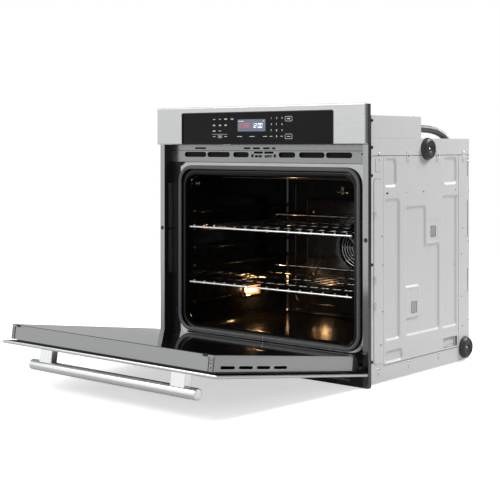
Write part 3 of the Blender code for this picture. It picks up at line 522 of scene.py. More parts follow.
# %% [markdown]
# Finishes on the frame's own pieces
# Most of the sheet metal is already the right shape. It needs its finish and the small radius that
# a folded or sheared edge has, because an edge with no radius catches no light. The frame's meshes
# come in with split corners, so a Weld goes before each Bevel.

# %% Dress the frame
def dress(material, names, edge=0.0, sides=()):
    """Gives nodes a finish, and their edges a small radius."""
    found = [name for name in names] + [name + "_" + side for name in sides for side, _ in SIDES]
    for name in found:
        node = NODES[name]
        node.data.materials.clear()
        node.data.materials.append(material)
        if edge:
            weld = node.modifiers.new("weld", "WELD")
            weld.merge_threshold = 0.00002
            soften = node.modifiers.new("edge", "BEVEL")
            soften.width = edge
            soften.segments = 2
            soften.limit_method = "ANGLE"
            soften.angle_limit = radians(40)
    return found


dressed = []
dressed += dress(brushed, ["control_fascia", "door_skin"])
# Side trims in the darker copy of the brushed steel, which is painted shade.
dressed += dress(brushed_up_painted_shade, [], sides=["side_trim"])
dressed += dress(polished, [], 0.0004, sides=["handle_post"])
dressed += dress(galvanised, ["rear_panel", "top_plate", "electronics_cover", "blower_housing"])
dressed += dress(galvanised, ["base_pan"], 0.0008)
dressed += dress(galvanised, [], sides=["front_post", "rear_post", "upper_rail", "lower_rail"])
dressed += dress(painted, ["door_body"])
dressed += dress(trim_grey, ["vent_trim"])
# The bottom trim's dark steel is painted shade: the dark it would mirror from below.
dressed += dress(painted_shade_steel, ["bottom_trim"])
dressed += dress(enamel, ["cavity_liner"])
dressed += dress(enamel, [], sides=["rack_guide"])
dressed += dress(matt_black, ["fascia_frame", "door_spacer", "fan_motor", "blower_wheel"])
dressed += dress(satin_black, [], 0.0004, sides=["hinge_arm", "hinge_bracket"])
dressed += dress(pane, ["door_inner_glass", "door_middle_glass", "door_outer_glass"])
dressed += dress(touch_glass, ["control_glass"], 0.0004)
dressed += dress(sheath, ["broil_element", "bake_element", "convection_element"])
dressed += dress(wool, ["insulation_blanket"])
dressed += dress(board, ["control_board"])
dressed += dress(cast, ["fan_blade", "conduit_gland", "conduit_fitting"])
dressed += dress(chrome, ["temperature_probe"])
print("dressed", len(dressed), "nodes")


# %% [markdown]
# Supply conduit
# The wires leave the electronics box in a flexible metal conduit, a strip of steel wound in a
# helix whose edges lock into each other. A plain tube would look like hose. Here the tube's radius
# follows the strip: high on the lap and low in the groove, and the pattern turns as it advances.

# %% Conduit
CONDUIT_R = 0.0105
GROOVE_SHARE = 0.87     # the groove's radius as a share of the lap's
STRIP_PITCH = 0.0052
RING_STEP = 0.0009
CONDUIT_ROUTE = (
    (0.3250, 0.0100, 0.6800), (0.3255, 0.0500, 0.6795), (0.3265, 0.1000, 0.6770),
    (0.3280, 0.1400, 0.6700), (0.3290, 0.1740, 0.6560), (0.3240, 0.2030, 0.6350),
    (0.3060, 0.2260, 0.6150), (0.2720, 0.2390, 0.6040), (0.2300, 0.2420, 0.6020),
    (0.1500, 0.2420, 0.6020), (0.0500, 0.2400, 0.6020), (-0.0500, 0.2360, 0.6020),
    (-0.1500, 0.2270, 0.6020), (-0.2100, 0.2050, 0.6020), (-0.2450, 0.1650, 0.6020),
    (-0.2500, 0.1150, 0.6020), (-0.2200, 0.0700, 0.6020), (-0.1650, 0.0450, 0.6020),
    (-0.1000, 0.0380, 0.6020), (0.0000, 0.0380, 0.6030), (0.0700, 0.0380, 0.6044),
    (0.1193, 0.0380, 0.6048),
)


# %% Sweeping a section along a line
def even_line(points, spacing):
    """Evenly spaced points on a smooth curve through the given ones, and the curve's length."""
    points = np.array(points)
    padded = np.vstack([2 * points[0] - points[1], points, 2 * points[-1] - points[-2]])
    t = np.linspace(0, 1, 40, endpoint=False)[:, None]
    spans = [0.5 * (2 * b + (c - a) * t + (2 * a - 5 * b + 4 * c - d) * t ** 2
                    + (3 * b - a - 3 * c + d) * t ** 3)
             for a, b, c, d in zip(padded, padded[1:], padded[2:], padded[3:])]
    dense = np.vstack(spans + [points[-1:]])
    walked = np.concatenate([[0], np.cumsum(np.linalg.norm(np.diff(dense, axis=0), axis=1))])
    stops = np.linspace(0, walked[-1], round(walked[-1] / spacing) + 1)
    line = np.stack([np.interp(stops, walked, dense[:, axis]) for axis in range(3)], axis=1)
    return line, walked[-1]


def swept(line, section):
    """A tube along a line; section(i) gives the offsets of ring i along two cross directions."""
    made = bmesh.new()
    across = Vector((0, 0, 1))
    rings = []
    for i, place in enumerate(line):
        ahead, behind = Vector(line[min(i + 1, len(line) - 1)]), Vector(line[max(i - 1, 0)])
        along = (ahead - behind).normalized()
        across = (across - along * across.dot(along)).normalized()
        third = along.cross(across)
        rings.append([made.verts.new(Vector(place) + across * a + third * b)
                      for a, b in section(i)])
    bridge(made, rings)
    made.faces.new(list(reversed(rings[0])))
    made.faces.new(rings[-1])
    bmesh.ops.recalc_face_normals(made, faces=made.faces)
    return as_mesh(made, "swept")


# %% The wound strip
def conduit_section(i, sides=20):
    """Ring i of the wound strip: a lap, a short slope and a groove in every pitch."""
    ring = []
    for j in range(sides):
        angle = tau * j / sides
        phase = (i * RING_STEP / STRIP_PITCH + angle / tau) % 1.0
        lap = min(1.0, max(0.0, 2.2 - abs(phase - 0.5) * 6.0))
        radius = CONDUIT_R * (GROOVE_SHARE + (1 - GROOVE_SHARE) * lap)
        ring.append((radius * cos(angle), radius * sin(angle)))
    return ring


conduit_line, conduit_length = even_line(CONDUIT_ROUTE, RING_STEP)
conduit = piece("supply_conduit_strip", swept(conduit_line, conduit_section), spiral, "cabinet",
                "supply_conduit", sharp=60)
print("conduit", round(conduit_length, 3), "m")


# %% [markdown]
# Door gasket
# A braided sleeve of glass fibre runs round the mouth of the oven. Its surface has long ribs from
# the braid, and it is joined at the middle of the bottom run. The ribs are real geometry, made by
# the same sweep as the conduit, and the crossing threads are a ripple along each rib.

# %% Gasket
gasket_low, gasket_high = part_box("gasket")
GASKET_HALF = (gasket_high.y - gasket_low.y) / 2
GASKET_WIDE = 0.00575
GASKET_Y = (gasket_low.y + gasket_high.y) / 2
GASKET_CORNER = 0.043


def gasket_line(spacing):
    """The gasket's centre line, starting at the middle of its bottom run."""
    left, right = gasket_low.x + GASKET_WIDE, gasket_high.x - GASKET_WIDE
    low, high = gasket_low.z + GASKET_WIDE, gasket_high.z - GASKET_WIDE
    r = GASKET_CORNER
    path = [(0.0, low)]
    for x, z, quarter in ((right - r, low + r, 3), (right - r, high - r, 0),
                          (left + r, high - r, 1), (left + r, low + r, 2)):
        turns = [(quarter + i / 24) * pi / 2 for i in range(25)]
        path += [(x + r * cos(turn), z + r * sin(turn)) for turn in turns]
    path.append((0.0, low))
    path = np.array(path)
    walked = np.concatenate([[0], np.cumsum(np.linalg.norm(np.diff(path, axis=0), axis=1))])
    stops = np.linspace(0, walked[-1], round(walked[-1] / spacing), endpoint=False)
    x, z = (np.interp(stops, walked, path[:, axis]) for axis in range(2))
    return np.stack([x, np.full(len(x), GASKET_Y), z], axis=1)


def gasket_section(i, sides=40, ribs=9):
    """An oval ring with long ribs and a ripple of crossing threads."""
    ring = []
    for j in range(sides):
        angle = tau * j / sides
        rib = 0.5 + 0.5 * cos(ribs * angle)
        thread = 0.5 + 0.5 * cos(2.2 * i + ribs * angle * (1 if i % 2 else -1))
        size = 0.90 + 0.07 * rib + 0.03 * thread
        ring.append((size * GASKET_WIDE * cos(angle), size * GASKET_HALF * sin(angle)))
    return ring


# %% Gasket sweep
def outward_sweep(line, section):
    """A closed sweep in the front plane; its offsets point out of the loop and along y."""
    made = bmesh.new()
    rings = []
    for i in range(len(line)):
        along = (Vector(line[(i + 1) % len(line)]) - Vector(line[i - 1])).normalized()
        out = Vector((along.z, 0, -along.x))
        rings.append([made.verts.new(Vector(line[i]) + out * a + Vector((0, b, 0)))
                      for a, b in section(i)])
    bridge(made, rings + rings[:1])
    bmesh.ops.recalc_face_normals(made, faces=made.faces)
    return as_mesh(made, "outward_sweep")


braid_line = gasket_line(0.0022)
piece("gasket_braid", outward_sweep(braid_line, gasket_section), braid, "cabinet", "gasket",
      sharp=70)
seam_z = gasket_low.z + GASKET_WIDE
seam_outline = round_rect((-0.0011, 0.0011), (seam_z - 0.0060, seam_z + 0.0060), 0.0010)
piece("gasket_seam", plate([seam_outline], "front", (gasket_low.y - 0.0003, gasket_high.y), 0.0002),
      cast, "cabinet")
print("gasket", len(braid_line), "rings")


# %% [markdown]
# Front frame and rolled mouth
# The sheet round the mouth is bright outside the gasket. Inside it is enamelled: a flat step to the
# liner, and then a soft curve at the top and bottom, so that pans slide in without catching. The
# roll is a stack of rounded outlines, each smaller and deeper than the last, with faces between.

# %% Front frame
frame_low, frame_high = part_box("front_frame")
flange_y = frame_low.y
MOUTH_X, MOUTH_Z = 0.3220, (0.0910, 0.5640)
STEP_DEPTH = 0.0012
LINER_SIDE, LINER_TOP, LINER_BOTTOM = 0.0137, 0.0116, -0.0067
ROLL_TOP, ROLL_BOTTOM, ROLL_DEPTH = 0.0125, 0.0105, 0.0200


def mouth_ring(side, top, bottom, corner=0.038):
    """The mouth's outline drawn in by its own amount at the sides, top and bottom."""
    return round_rect((-MOUTH_X + side, MOUTH_X - side), (MOUTH_Z[0] + bottom, MOUTH_Z[1] - top),
                      corner, 12)


def stacked(rings):
    """Faces between closed outlines of equal length, each given with its depth."""
    made = bmesh.new()
    rows = [[made.verts.new((x, y, z)) for x, z in ring] for ring, y in rings]
    bridge(made, rows, inward=True)
    return as_mesh(made, "stacked")


# %% Rolled mouth and flange
def thicken(made, thickness):
    """Gives an open sheet its thickness, on the inner side."""
    sheet = made.modifiers.new("sheet", "SOLIDIFY")
    sheet.thickness = thickness
    sheet.offset = -1.0


roll_rings = [(mouth_ring(0, 0, 0), flange_y)]
for step in range(13):
    rise, advance = sin(step / 12 * pi / 2), 1 - cos(step / 12 * pi / 2)
    roll_rings.append((mouth_ring(LINER_SIDE, LINER_TOP + ROLL_TOP * rise, ROLL_BOTTOM * rise),
                       flange_y + STEP_DEPTH + ROLL_DEPTH * advance))
roll_rings.append((mouth_ring(LINER_SIDE, LINER_TOP, LINER_BOTTOM, 0.030),
                   roll_rings[-1][1] + 0.0120))
thicken(piece("mouth_roll", stacked(roll_rings), mouth_enamel, "cabinet", sharp=60), 0.0004)
sheet_outline = rectangle((frame_low.x, frame_high.x), (frame_low.z, frame_high.z))
piece("front_frame_sheet", plate([sheet_outline, mouth_ring(0, 0, 0)], "front",
                                 (flange_y, frame_high.y), 0.0003), flange, "cabinet", "front_frame")
print("mouth", round(2 * (MOUTH_X - LINER_SIDE), 3), "m wide")


# %% [markdown]
# Wire racks
# A rack is a rod frame with lighter wires welded across it. The frame's own racks have few sides to
# each rod, so they are swept again, rounder, on the same lines. Every wire ends on the front rod
# with a small flattened weld. The rack is one plated steel, but the front rod and the weld pips get a
# painted highlight, a much brighter finish, and the rest of the wirework gets painted shade.

# %% Racks
RACK_ROD = 0.0028
RACK_WIRE = 0.0015
RACK_BRACE = 0.0024
WIRE_PITCH = 0.0398
RACK_RISE = 0.0175      # the stop hump and the raised back stand this far above the rods


def rack(name):
    """One rack: its front rail and welds in painted highlight, the other wirework in painted shade."""
    low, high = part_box(name)
    z = low.z + RACK_ROD
    half = high.x - RACK_ROD
    front, back = low.y + RACK_ROD, high.y - RACK_ROD
    bump_start, bump_top, bump_end = (FRONT + d for d in (0.108, 0.133, 0.155))
    side = [(0.0, front, z), (half - 0.006, front, z), (half, front + 0.006, z),
            (half, bump_start, z), (half, bump_top - 0.002, z + RACK_RISE),
            (half, bump_top + 0.002, z + RACK_RISE), (half, bump_end, z), (half, back - 0.030, z),
            (half - 0.004, back - 0.006, z + RACK_RISE), (half - 0.012, back, z + 0.0195)]
    rim = side + [(-a, b, c) for a, b, c in reversed(side[1:])]
    wires, pips = [], []
    for i in range(-7, 8):
        x = i * WIRE_PITCH
        wires.append([(x, front - 0.0018, z + 0.0036), (x, back - 0.034, z + 0.0038),
                      (x, back - 0.026, z + 0.0052), (x, back, z + 0.0225)])
        pips.append(Matrix.Translation((x, front - 0.0005, z + 0.0030)))
    braces = [[(-half, FRONT + d, z - 0.0004), (half, FRONT + d, z - 0.0004)]
              for d in (0.172, 0.300, 0.420)]
    pip = block((-0.0013, 0.0013), (-0.0018, 0.0024), (-0.0062, 0.0032), 0.0006, 3)
    mesh = joined(rods([rim], RACK_ROD, 3, closed=True), rods(wires, RACK_WIRE, 3),
                  rods(braces, RACK_BRACE, 3))
    # A brighter copy of the front rod, laid over it: painted highlight.
    bright = rods([[(-half + 0.002, front - 0.0004, z), (half - 0.002, front - 0.0004, z)]],
                  RACK_ROD + 0.0001, 4)
    piece(name + "_front_rail_painted_highlight", bright, rail, name, sharp=50)
    piece(name + "_weld_pips_painted_highlight", copies(pip, pips), weld_painted_highlight, name, sharp=50)
    return piece(name + "_wirework", mesh, painted_shade_wire, name, name, sharp=50)


# %% Both racks
for rack_name in ("upper_rack", "lower_rack"):
    made = rack(rack_name)
    print(made.name, len(made.data.polygons), "faces")


# %% [markdown]
# Convection fan cover
# The cover is a pressed enamel tray over the fan. Rings guard the fan's inlet, and the sides are
# perforated so that heated air comes back out. A plate drawn as one outline with many holes makes
# the perforation in a single step, which is far quicker than cutting the holes one by one.

# %% Fan cover
cover_low, cover_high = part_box("fan_cover")
fan_z = sum(corner.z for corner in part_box("fan_blade")) / 2
RING_GUARD_R = 0.068


def perforations():
    """Staggered rows of small holes beside the fan."""
    pitch, radius = 0.0072, 0.0021
    holes = []
    for row in range(13):
        shift = pitch / 2 if row % 2 else 0.0
        for column in range(6):
            x = 0.1010 + column * pitch + shift
            z = fan_z - 0.0435 + row * pitch
            holes += [circle(side * x, z, radius, 10) for side in (-1, 1)]
    return holes


# %% Cover face, ring guard and hub
def fan_ring(radius, depth, thickness, sides=72, resolution=2):
    """A round rod about the fan's axis, set back a little from the cover's face."""
    line = [(a, cover_low.y + depth, b) for a, b in circle(0, fan_z, radius, sides)]
    return rods([line], thickness, resolution, closed=True)


face_span = (cover_low.y, cover_low.y + 0.0014)
face = plate([round_rect((cover_low.x + 0.004, cover_high.x - 0.004),
                         (cover_low.z + 0.004, cover_high.z - 0.004), 0.006),
              circle(0, fan_z, RING_GUARD_R, 72)] + perforations(), "front", face_span, 0.0003)
walls = plate([round_rect((cover_low.x, cover_high.x), (cover_low.z, cover_high.z), 0.010),
               round_rect((cover_low.x + 0.005, cover_high.x - 0.005),
                          (cover_low.z + 0.005, cover_high.z - 0.005), 0.006)],
              "front", (cover_low.y + 0.0006, cover_high.y), 0.0025)
guard_rings = [fan_ring(radius, 0.0012, 0.0017)
               for radius in (0.0110, 0.0205, 0.0300, 0.0395, 0.0490, 0.0585)]
shoulder = fan_ring(RING_GUARD_R + 0.001, 0.0008, 0.0030, sides=96, resolution=3)
spokes = [rods([[(r * cos(a), cover_low.y + 0.0020, fan_z + r * sin(a))
                 for r in (0.010, RING_GUARD_R)]], 0.0016, 2)
          for a in (radians(45 + 90 * q) for q in range(4))]
hub = lathe([(0.0, 0.0026), (0.0070, 0.0024), (0.0105, 0.0006), (0.0105, -0.0010), (0.0, -0.0010)])
hub.transform(Matrix.Translation((0, cover_low.y + 0.0012, fan_z))
              @ Matrix.Rotation(pi / 2, 4, "X"))
# The cover's lighter enamel is painted light.
piece("fan_cover_face", joined(face, walls, shoulder), cover_enamel_painted_light, "cabinet", "fan_cover")
# The guard rings' light grey is painted highlight.
piece("fan_ring_guard", joined(*guard_rings, *spokes, hub), guard_wire_painted_highlight, "cabinet")
print("perforations", len(perforations()))


# %% [markdown]
# Oven lamp and probe socket
# The lamp sits behind a ribbed glass cover in the left wall, low down, and its warm light is what
# shows the inside at all. The cover glows dimly and a bright core stands for the filament. A point
# light just in front of the cover does the lighting, because a small glowing mesh lights noisily.

# %% Lamp cover
lamp_low, lamp_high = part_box("oven_lamp")
lamp_y = (lamp_low.y, lamp_high.y)
lamp_z = (lamp_low.z, lamp_high.z)
lens = block((lamp_low.x, lamp_high.x - 0.0010), (lamp_y[0] + 0.004, lamp_y[1] - 0.004),
             (lamp_z[0] + 0.004, lamp_z[1] - 0.004), 0.004, 4)
lens_rib = block((-0.0012, 0.0012), (-0.0022, 0.0022), (-0.0150, 0.0150), 0.0010, 3)
rib_places = [Matrix.Translation((lamp_high.x - 0.0012, lamp_y[0] + 0.010 + 0.0070 * i,
                                  (lamp_z[0] + lamp_z[1]) / 2)) for i in range(10)]
piece("lamp_lens", joined(lens, copies(lens_rib, rib_places)), lamp_lens, "cabinet", "oven_lamp")
core = block((lamp_high.x - 0.0014, lamp_high.x - 0.0002), (lamp_y[0] + 0.024, lamp_y[1] - 0.020),
             (lamp_z[0] + 0.014, lamp_z[1] - 0.012), 0.0005, 2)
piece("lamp_filament_glow", core, lamp_core, "cabinet")
piece("lamp_frame", plate([round_rect(lamp_y, lamp_z, 0.006),
                           round_rect((lamp_y[0] + 0.005, lamp_y[1] - 0.005),
                                      (lamp_z[0] + 0.005, lamp_z[1] - 0.005), 0.004)],
                          "side", (lamp_high.x - 0.0060, lamp_high.x), 0.0006), chrome, "cabinet")

# %% Bulb and probe socket
bulb_data = bpy.data.lights.new("oven_bulb", "POINT")
bulb_data.energy = 0.75
bulb_data.color = (1.0, 0.58, 0.24)
bulb_data.shadow_soft_size = 0.012
bulb = bpy.data.objects.new("oven_bulb", bulb_data)
bulb.location = (lamp_high.x + 0.020, sum(lamp_y) / 2, sum(lamp_z) / 2)
bpy.context.scene.collection.objects.link(bulb)

socket = lathe([(0.0, 0.0006), (0.0042, 0.0006), (0.0046, 0.0034), (0.0080, 0.0034),
                (0.0086, 0.0024), (0.0086, 0.0), (0.0, 0.0)])
socket.transform(Matrix.Translation((-0.3080, FRONT + 0.105, 0.517))
                 @ Matrix.Rotation(pi / 2, 4, "Y"))
piece("probe_socket", socket, zinc, "cabinet")
print("bulb", bulb_data.energy, "W at", tuple(round(value, 3) for value in bulb.location))


# %% [markdown]
# Screws
# Nearly every sheet is held by the same cross-head screw, so one is made carefully, with a real
# recess cut by a Boolean, and then copied. Each group of copies is one piece, which keeps the
# list of pieces short and lets a whole row ride on its body together.

# %% Screw maker
def cross_head(radius, height, washer=0.0):
    """A domed head with a cross recess, its base at z = 0."""
    dome = [(0.0, height), (radius * 0.45, height * 0.96), (radius * 0.80, height * 0.72),
            (radius, height * 0.25), (radius, 0.0), (0.0, 0.0)]
    if washer:
        dome[4:5] = [(radius, height * 0.2), (washer, height * 0.18), (washer, 0.0)]
    head = bpy.data.objects.new("head", lathe(dome, 28))
    arm = radius * 0.58
    slot = radius * 0.13
    cutters = joined(block((-arm, arm), (-slot, slot), (height * 0.45, height * 2), 0.0),
                     block((-slot, slot), (-arm, arm), (height * 0.45, height * 2), 0.0))
    cross = bpy.data.objects.new("cross", cutters)
    for made in (head, cross):
        bpy.context.scene.collection.objects.link(made)
    recess = head.modifiers.new("recess", "BOOLEAN")
    recess.operation = "DIFFERENCE"
    recess.object = cross
    recess.use_self = True
    graph = bpy.context.evaluated_depsgraph_get()
    mesh = bpy.data.meshes.new_from_object(head.evaluated_get(graph))
    bpy.data.objects.remove(head)
    bpy.data.objects.remove(cross)
    return mesh


# %% Placing screws
def facing_side(side, y, z, x, turn=0.0):
    """Places a Z-up mesh on a side wall, facing outward."""
    return (Matrix.Translation((side * x, y, z)) @ Matrix.Rotation(side * pi / 2, 4, "Y")
            @ Matrix.Rotation(turn, 4, "Z"))


def facing_front(x, y, z, turn=0.0, tip=pi / 2):
    """Places a Z-up mesh on the front, facing outward."""
    return (Matrix.Translation((x, y, z)) @ Matrix.Rotation(tip, 4, "X")
            @ Matrix.Rotation(turn, 4, "Z"))


def facing_back(x, y, z, turn=0.0):
    """Places a Z-up mesh on the back, facing outward."""
    return facing_front(x, y, z, turn, tip=-pi / 2)


body_screw = cross_head(0.0036, 0.0016)
small_screw = cross_head(0.0027, 0.0013)
washer_screw = cross_head(0.0036, 0.0022, washer=0.0052)
bolt = cross_head(0.0044, 0.0030)
print("screw", len(body_screw.polygons), "faces")


# %% [markdown]
# Pressed side panels
# A side panel is one thin sheet stamped with shallow pockets that stop it from drumming. Stamping
# leaves soft slopes with rounded corners, which boxes and bevels can't give. So the panel is a grid
# whose depth is worked out point by point from the distance to each pocket's outline.

# %% Pressed panels
PANEL_LOW, PANEL_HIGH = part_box("side_panel_right")
BODY_X = PANEL_HIGH.x
POCKET_DEPTH = 0.0047
SLOPE = 0.0075
GRID = 0.0022
WINDOW_Y = (FRONT + 0.4130, FRONT + 0.4900)
WINDOW_Z = (0.0500, 0.0785)


def inside(y, z, a, b, radius=0.010):
    """Distance into a rounded rectangle: positive inside, negative outside."""
    centre_y, centre_z = FRONT + (a[0] + a[1]) / 2, (b[0] + b[1]) / 2
    off_y = np.abs(y - centre_y) - (a[1] - a[0]) / 2 + radius
    off_z = np.abs(z - centre_z) - (b[1] - b[0]) / 2 + radius
    outer = np.hypot(np.maximum(off_y, 0), np.maximum(off_z, 0))
    return radius - outer - np.minimum(np.maximum(off_y, off_z), 0)


def pocket_distance(y, z):
    """Distance into the nearest pocket."""
    pads = [inside(y, z, a, b) for a, b in (
        ((0.1160, 0.1680), (0.5225, 0.5950)), ((0.4180, 0.4850), (0.5225, 0.5950)),
        ((0.1150, 0.1850), (0.1110, 0.4860)), ((0.4090, 0.4850), (0.1110, 0.4860)),
        ((0.1160, 0.1980), (0.0510, 0.0785)))]
    middle = np.maximum(inside(y, z, (0.2185, 0.3900), (0.1120, 0.3530)),
                        inside(y, z, (0.2185, 0.3180), (0.1120, 0.4620)))
    island = inside(y, z, (0.1800, 0.2900), (0.1560, 0.2445))
    pads.append(np.minimum(middle, -island))
    return np.max(pads, axis=0)


def seat_distance(y, z):
    """Distance into the shallow seats of the two louvre grilles."""
    return np.maximum(inside(y, z, (0.2290, 0.2800), (0.1640, 0.2370), 0.008),
                      inside(y, z, (0.3300, 0.3830), (0.3620, 0.4230), 0.008))


def stops(*marks):
    """Grid lines between marks, so that a line falls on each of them."""
    lines = [np.linspace(a, b, max(2, round((b - a) / GRID)), endpoint=False)
             for a, b in zip(marks, marks[1:])]
    return np.concatenate(lines + [[marks[-1]]])


def ramp(distance, width):
    """Rises smoothly from 0 to 1 across an outline."""
    share = np.clip(distance / width + 0.5, 0, 1)
    return share * share * (3 - 2 * share)


# %% The stamped sheets
def pressed_panel(side):
    """The stamped sheet of one side, with its service window left open."""
    y_lines = stops(PANEL_LOW.y, *WINDOW_Y, PANEL_HIGH.y)
    z_lines = stops(PANEL_LOW.z, *WINDOW_Z, PANEL_HIGH.z)
    y, z = np.meshgrid(y_lines, z_lines, indexing="ij")
    depth = POCKET_DEPTH * ramp(pocket_distance(y, z), SLOPE)
    depth += 0.0012 * ramp(seat_distance(y, z), 0.005) * (1 - ramp(pocket_distance(y, z), SLOPE))
    x = side * (BODY_X - depth)
    rows, columns = y.shape
    made = bmesh.new()
    grid = [[made.verts.new((x[i, j], y[i, j], z[i, j])) for j in range(columns)]
            for i in range(rows)]
    for i in range(rows - 1):
        in_window_y = WINDOW_Y[0] < (y_lines[i] + y_lines[i + 1]) / 2 < WINDOW_Y[1]
        for j in range(columns - 1):
            in_window_z = WINDOW_Z[0] < (z_lines[j] + z_lines[j + 1]) / 2 < WINDOW_Z[1]
            if not (in_window_y and in_window_z):
                corners = (grid[i][j], grid[i + 1][j], grid[i + 1][j + 1], grid[i][j + 1])
                made.faces.new(corners if side > 0 else tuple(reversed(corners)))
    return as_mesh(made, "pressed_panel")


for side_name, side in SIDES:
    panel = piece("pressed_panel_" + side_name, pressed_panel(side), galvanised, "cabinet",
                  "side_panel_" + side_name, sharp=60)
    thicken(panel, 0.0010)
    print(panel.name, len(panel.data.polygons), "faces")


# %% [markdown]
# Small work on the sides
# Up close a galvanised box is full of small things: sheared tabs with a screw and a clearance hole,
# pierced holes with a faint rolled rim, paired screws along the bottom rail, and louvre grilles.
# They sit at the same height on both sides, so one function makes the left and right together.

# %% Side details
def pierced(side, y, z, radius, x=BODY_X):
    """A hole seen from outside: a disc of painted shade with a thin rolled rim."""
    turn = facing_side(side, FRONT + y, z, x)
    dark = lathe([(0.0, 0.00025), (radius, 0.00025), (radius, -0.0004), (0.0, -0.0004)], 20)
    rim = lathe([(radius, -0.0002), (radius + 0.0001, 0.0005), (radius + 0.0006, 0.0006),
                 (radius + 0.0011, 0.0002), (radius + 0.0011, -0.0002)], 20)
    dark.transform(turn)
    rim.transform(turn)
    return dark, rim


SIDE_HOLES = ((0.3076, 0.5034, 0.0023), (0.4820, 0.5030, 0.0023), (0.4877, 0.4868, 0.0020),
              (0.4743, 0.2871, 0.0018), (0.2200, 0.5034, 0.0014))
STRAP_HOLES = ((0.0976, 0.3907, 0.0020), (0.1033, 0.3137, 0.0020), (0.1027, 0.1900, 0.0020),
               (0.0936, 0.1023, 0.0022))
POST_HOLES = ((0.5205, 0.3904, 0.0018), (0.5149, 0.3141, 0.0018), (0.5149, 0.1911, 0.0018),
              (0.5205, 0.1039, 0.0018), (0.5420, 0.3640, 0.0014), (0.5420, 0.2030, 0.0014))
STRAP_X = BODY_X + 0.0012
STRAP_Y, STRAP_Z = (FRONT + 0.0620, FRONT + 0.1050), (0.0540, 0.5430)
STRAP_GAP = 0.0006
TABS = (0.2297, 0.3840, 0.5275)
SEAM_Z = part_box("upper_rail_right")[0].z


def tab(side, y):
    """A tab of the side panel that laps onto the rail above the seam."""
    outline = round_rect((FRONT + y - 0.0090, FRONT + y + 0.0090),
                         (SEAM_Z - 0.020, SEAM_Z + 0.014), 0.004)
    return plate([outline], "side", span_on(side, BODY_X - 0.0002, BODY_X + 0.0011), 0.0003)


def window_back(side):
    """The stepped plate seen through the service window, with its fold and two holes."""
    depth = span_on(side, BODY_X - 0.0060, BODY_X - 0.0052)
    outline = rectangle((WINDOW_Y[0] - 0.004, WINDOW_Y[1] + 0.004),
                        (WINDOW_Z[0] - 0.003, WINDOW_Z[1] + 0.004))
    holes = [circle(WINDOW_Y[1] - 0.016, z, 0.0016, 12)
             for z in (WINDOW_Z[1] - 0.007, WINDOW_Z[0] + 0.007)]
    back = plate([outline] + holes, "side", depth, 0.0001)
    fold = block(span_on(side, BODY_X - 0.0052, BODY_X - 0.0030),
                 (WINDOW_Y[1] - 0.0120, WINDOW_Y[1] - 0.0105),
                 (WINDOW_Z[0] - 0.003, WINDOW_Z[1] + 0.002), 0.0003)
    return joined(back, fold)


# %% Holes, seams, tabs and screws of a side
def side_details(side_name, side):
    """Holes, seams, tabs and screws of one side; returns the number of screws."""
    # The holes, notches, seam lines and the gap round the strap are black pieces of painted shade.
    dark, rims = [], []
    for holes, x in ((SIDE_HOLES, BODY_X), (STRAP_HOLES, STRAP_X), (POST_HOLES, BODY_X)):
        for y, z, radius in holes:
            hole, rim = pierced(side, y, z, radius, x)
            dark.append(hole)
            rims.append(rim)
    slot = round_rect((FRONT + 0.1205, FRONT + 0.1305), (0.5014, 0.5060), 0.0022)
    dark.append(plate([slot], "side", span_on(side, BODY_X - 0.0004, BODY_X + 0.0003)))
    tab_screws = [facing_side(side, FRONT + TABS[-1], SEAM_Z + 0.0060, BODY_X + 0.0011, 0.3),
                  facing_side(side, FRONT + 0.0860, SEAM_Z + 0.0045, STRAP_X, 0.7)]
    for y in TABS:
        hole, rim = pierced(side, y, SEAM_Z - 0.0135, 0.0014, BODY_X + 0.0011)
        notch = plate([circle(FRONT + y, SEAM_Z - 0.0010, 0.0030, 16)], "side",
                      span_on(side, BODY_X, BODY_X + 0.0013))
        dark += [hole] if y == TABS[-1] else [hole, notch]
        rims.append(rim)
    hole, rim = pierced(side, 0.0860, SEAM_Z - 0.0115, 0.0017, STRAP_X)
    dark.append(hole)
    rims.append(rim)
    rail_screws = [facing_side(side, FRONT + y, z, BODY_X, turn)
                   for y, turn in ((0.0833, 0.2), (0.2295, 0.9), (0.3859, 0.5))
                   for z in (0.0390, 0.0265)]
    rear_screws = [facing_side(side, FRONT + 0.5540, z, BODY_X, 0.4 * k)
                   for k, z in enumerate((0.5850, 0.4980, 0.3500, 0.1180))]
    # Seam lines of painted shade along the rail and the bottom and back edges.
    skin_deep = span_on(side, BODY_X - 0.0002, BODY_X + 0.0003)
    for y, z in (((FRONT + 0.0560, FRONT + 0.5560), (SEAM_Z - 0.0010, SEAM_Z + 0.0004)),
                 ((FRONT + 0.1080, PANEL_HIGH.y), (PANEL_LOW.z - 0.0004, PANEL_LOW.z + 0.0004)),
                 ((PANEL_HIGH.y - 0.0003, PANEL_HIGH.y + 0.0005), (PANEL_LOW.z, SEAM_Z))):
        dark.append(block(skin_deep, y, z, 0.0, 1))
    # A thin black ring round the strap: painted shade in its gap.
    strap = [round_rect((STRAP_Y[0] - gap, STRAP_Y[1] + gap), (STRAP_Z[0] - gap, STRAP_Z[1] + gap),
                        0.0080 + gap) for gap in (STRAP_GAP, -STRAP_GAP)]
    dark.append(plate(strap, "side", skin_deep))
    piece("window_back_" + side_name, window_back(side), galvanised, "cabinet")
    piece("side_holes_" + side_name, joined(*dark), painted_shade_black, "cabinet")
    piece("side_hole_rims_" + side_name, joined(*rims), galvanised, "cabinet")
    piece("side_tabs_" + side_name, joined(*(tab(side, y) for y in TABS)), galvanised, "cabinet")
    piece("side_screws_" + side_name, joined(copies(body_screw, tab_screws + rail_screws),
                                             copies(small_screw, rear_screws)), zinc, "cabinet")
    return len(tab_screws + rail_screws + rear_screws)


for side_name, side in SIDES:
    print(side_name, "side screws", side_details(side_name, side))


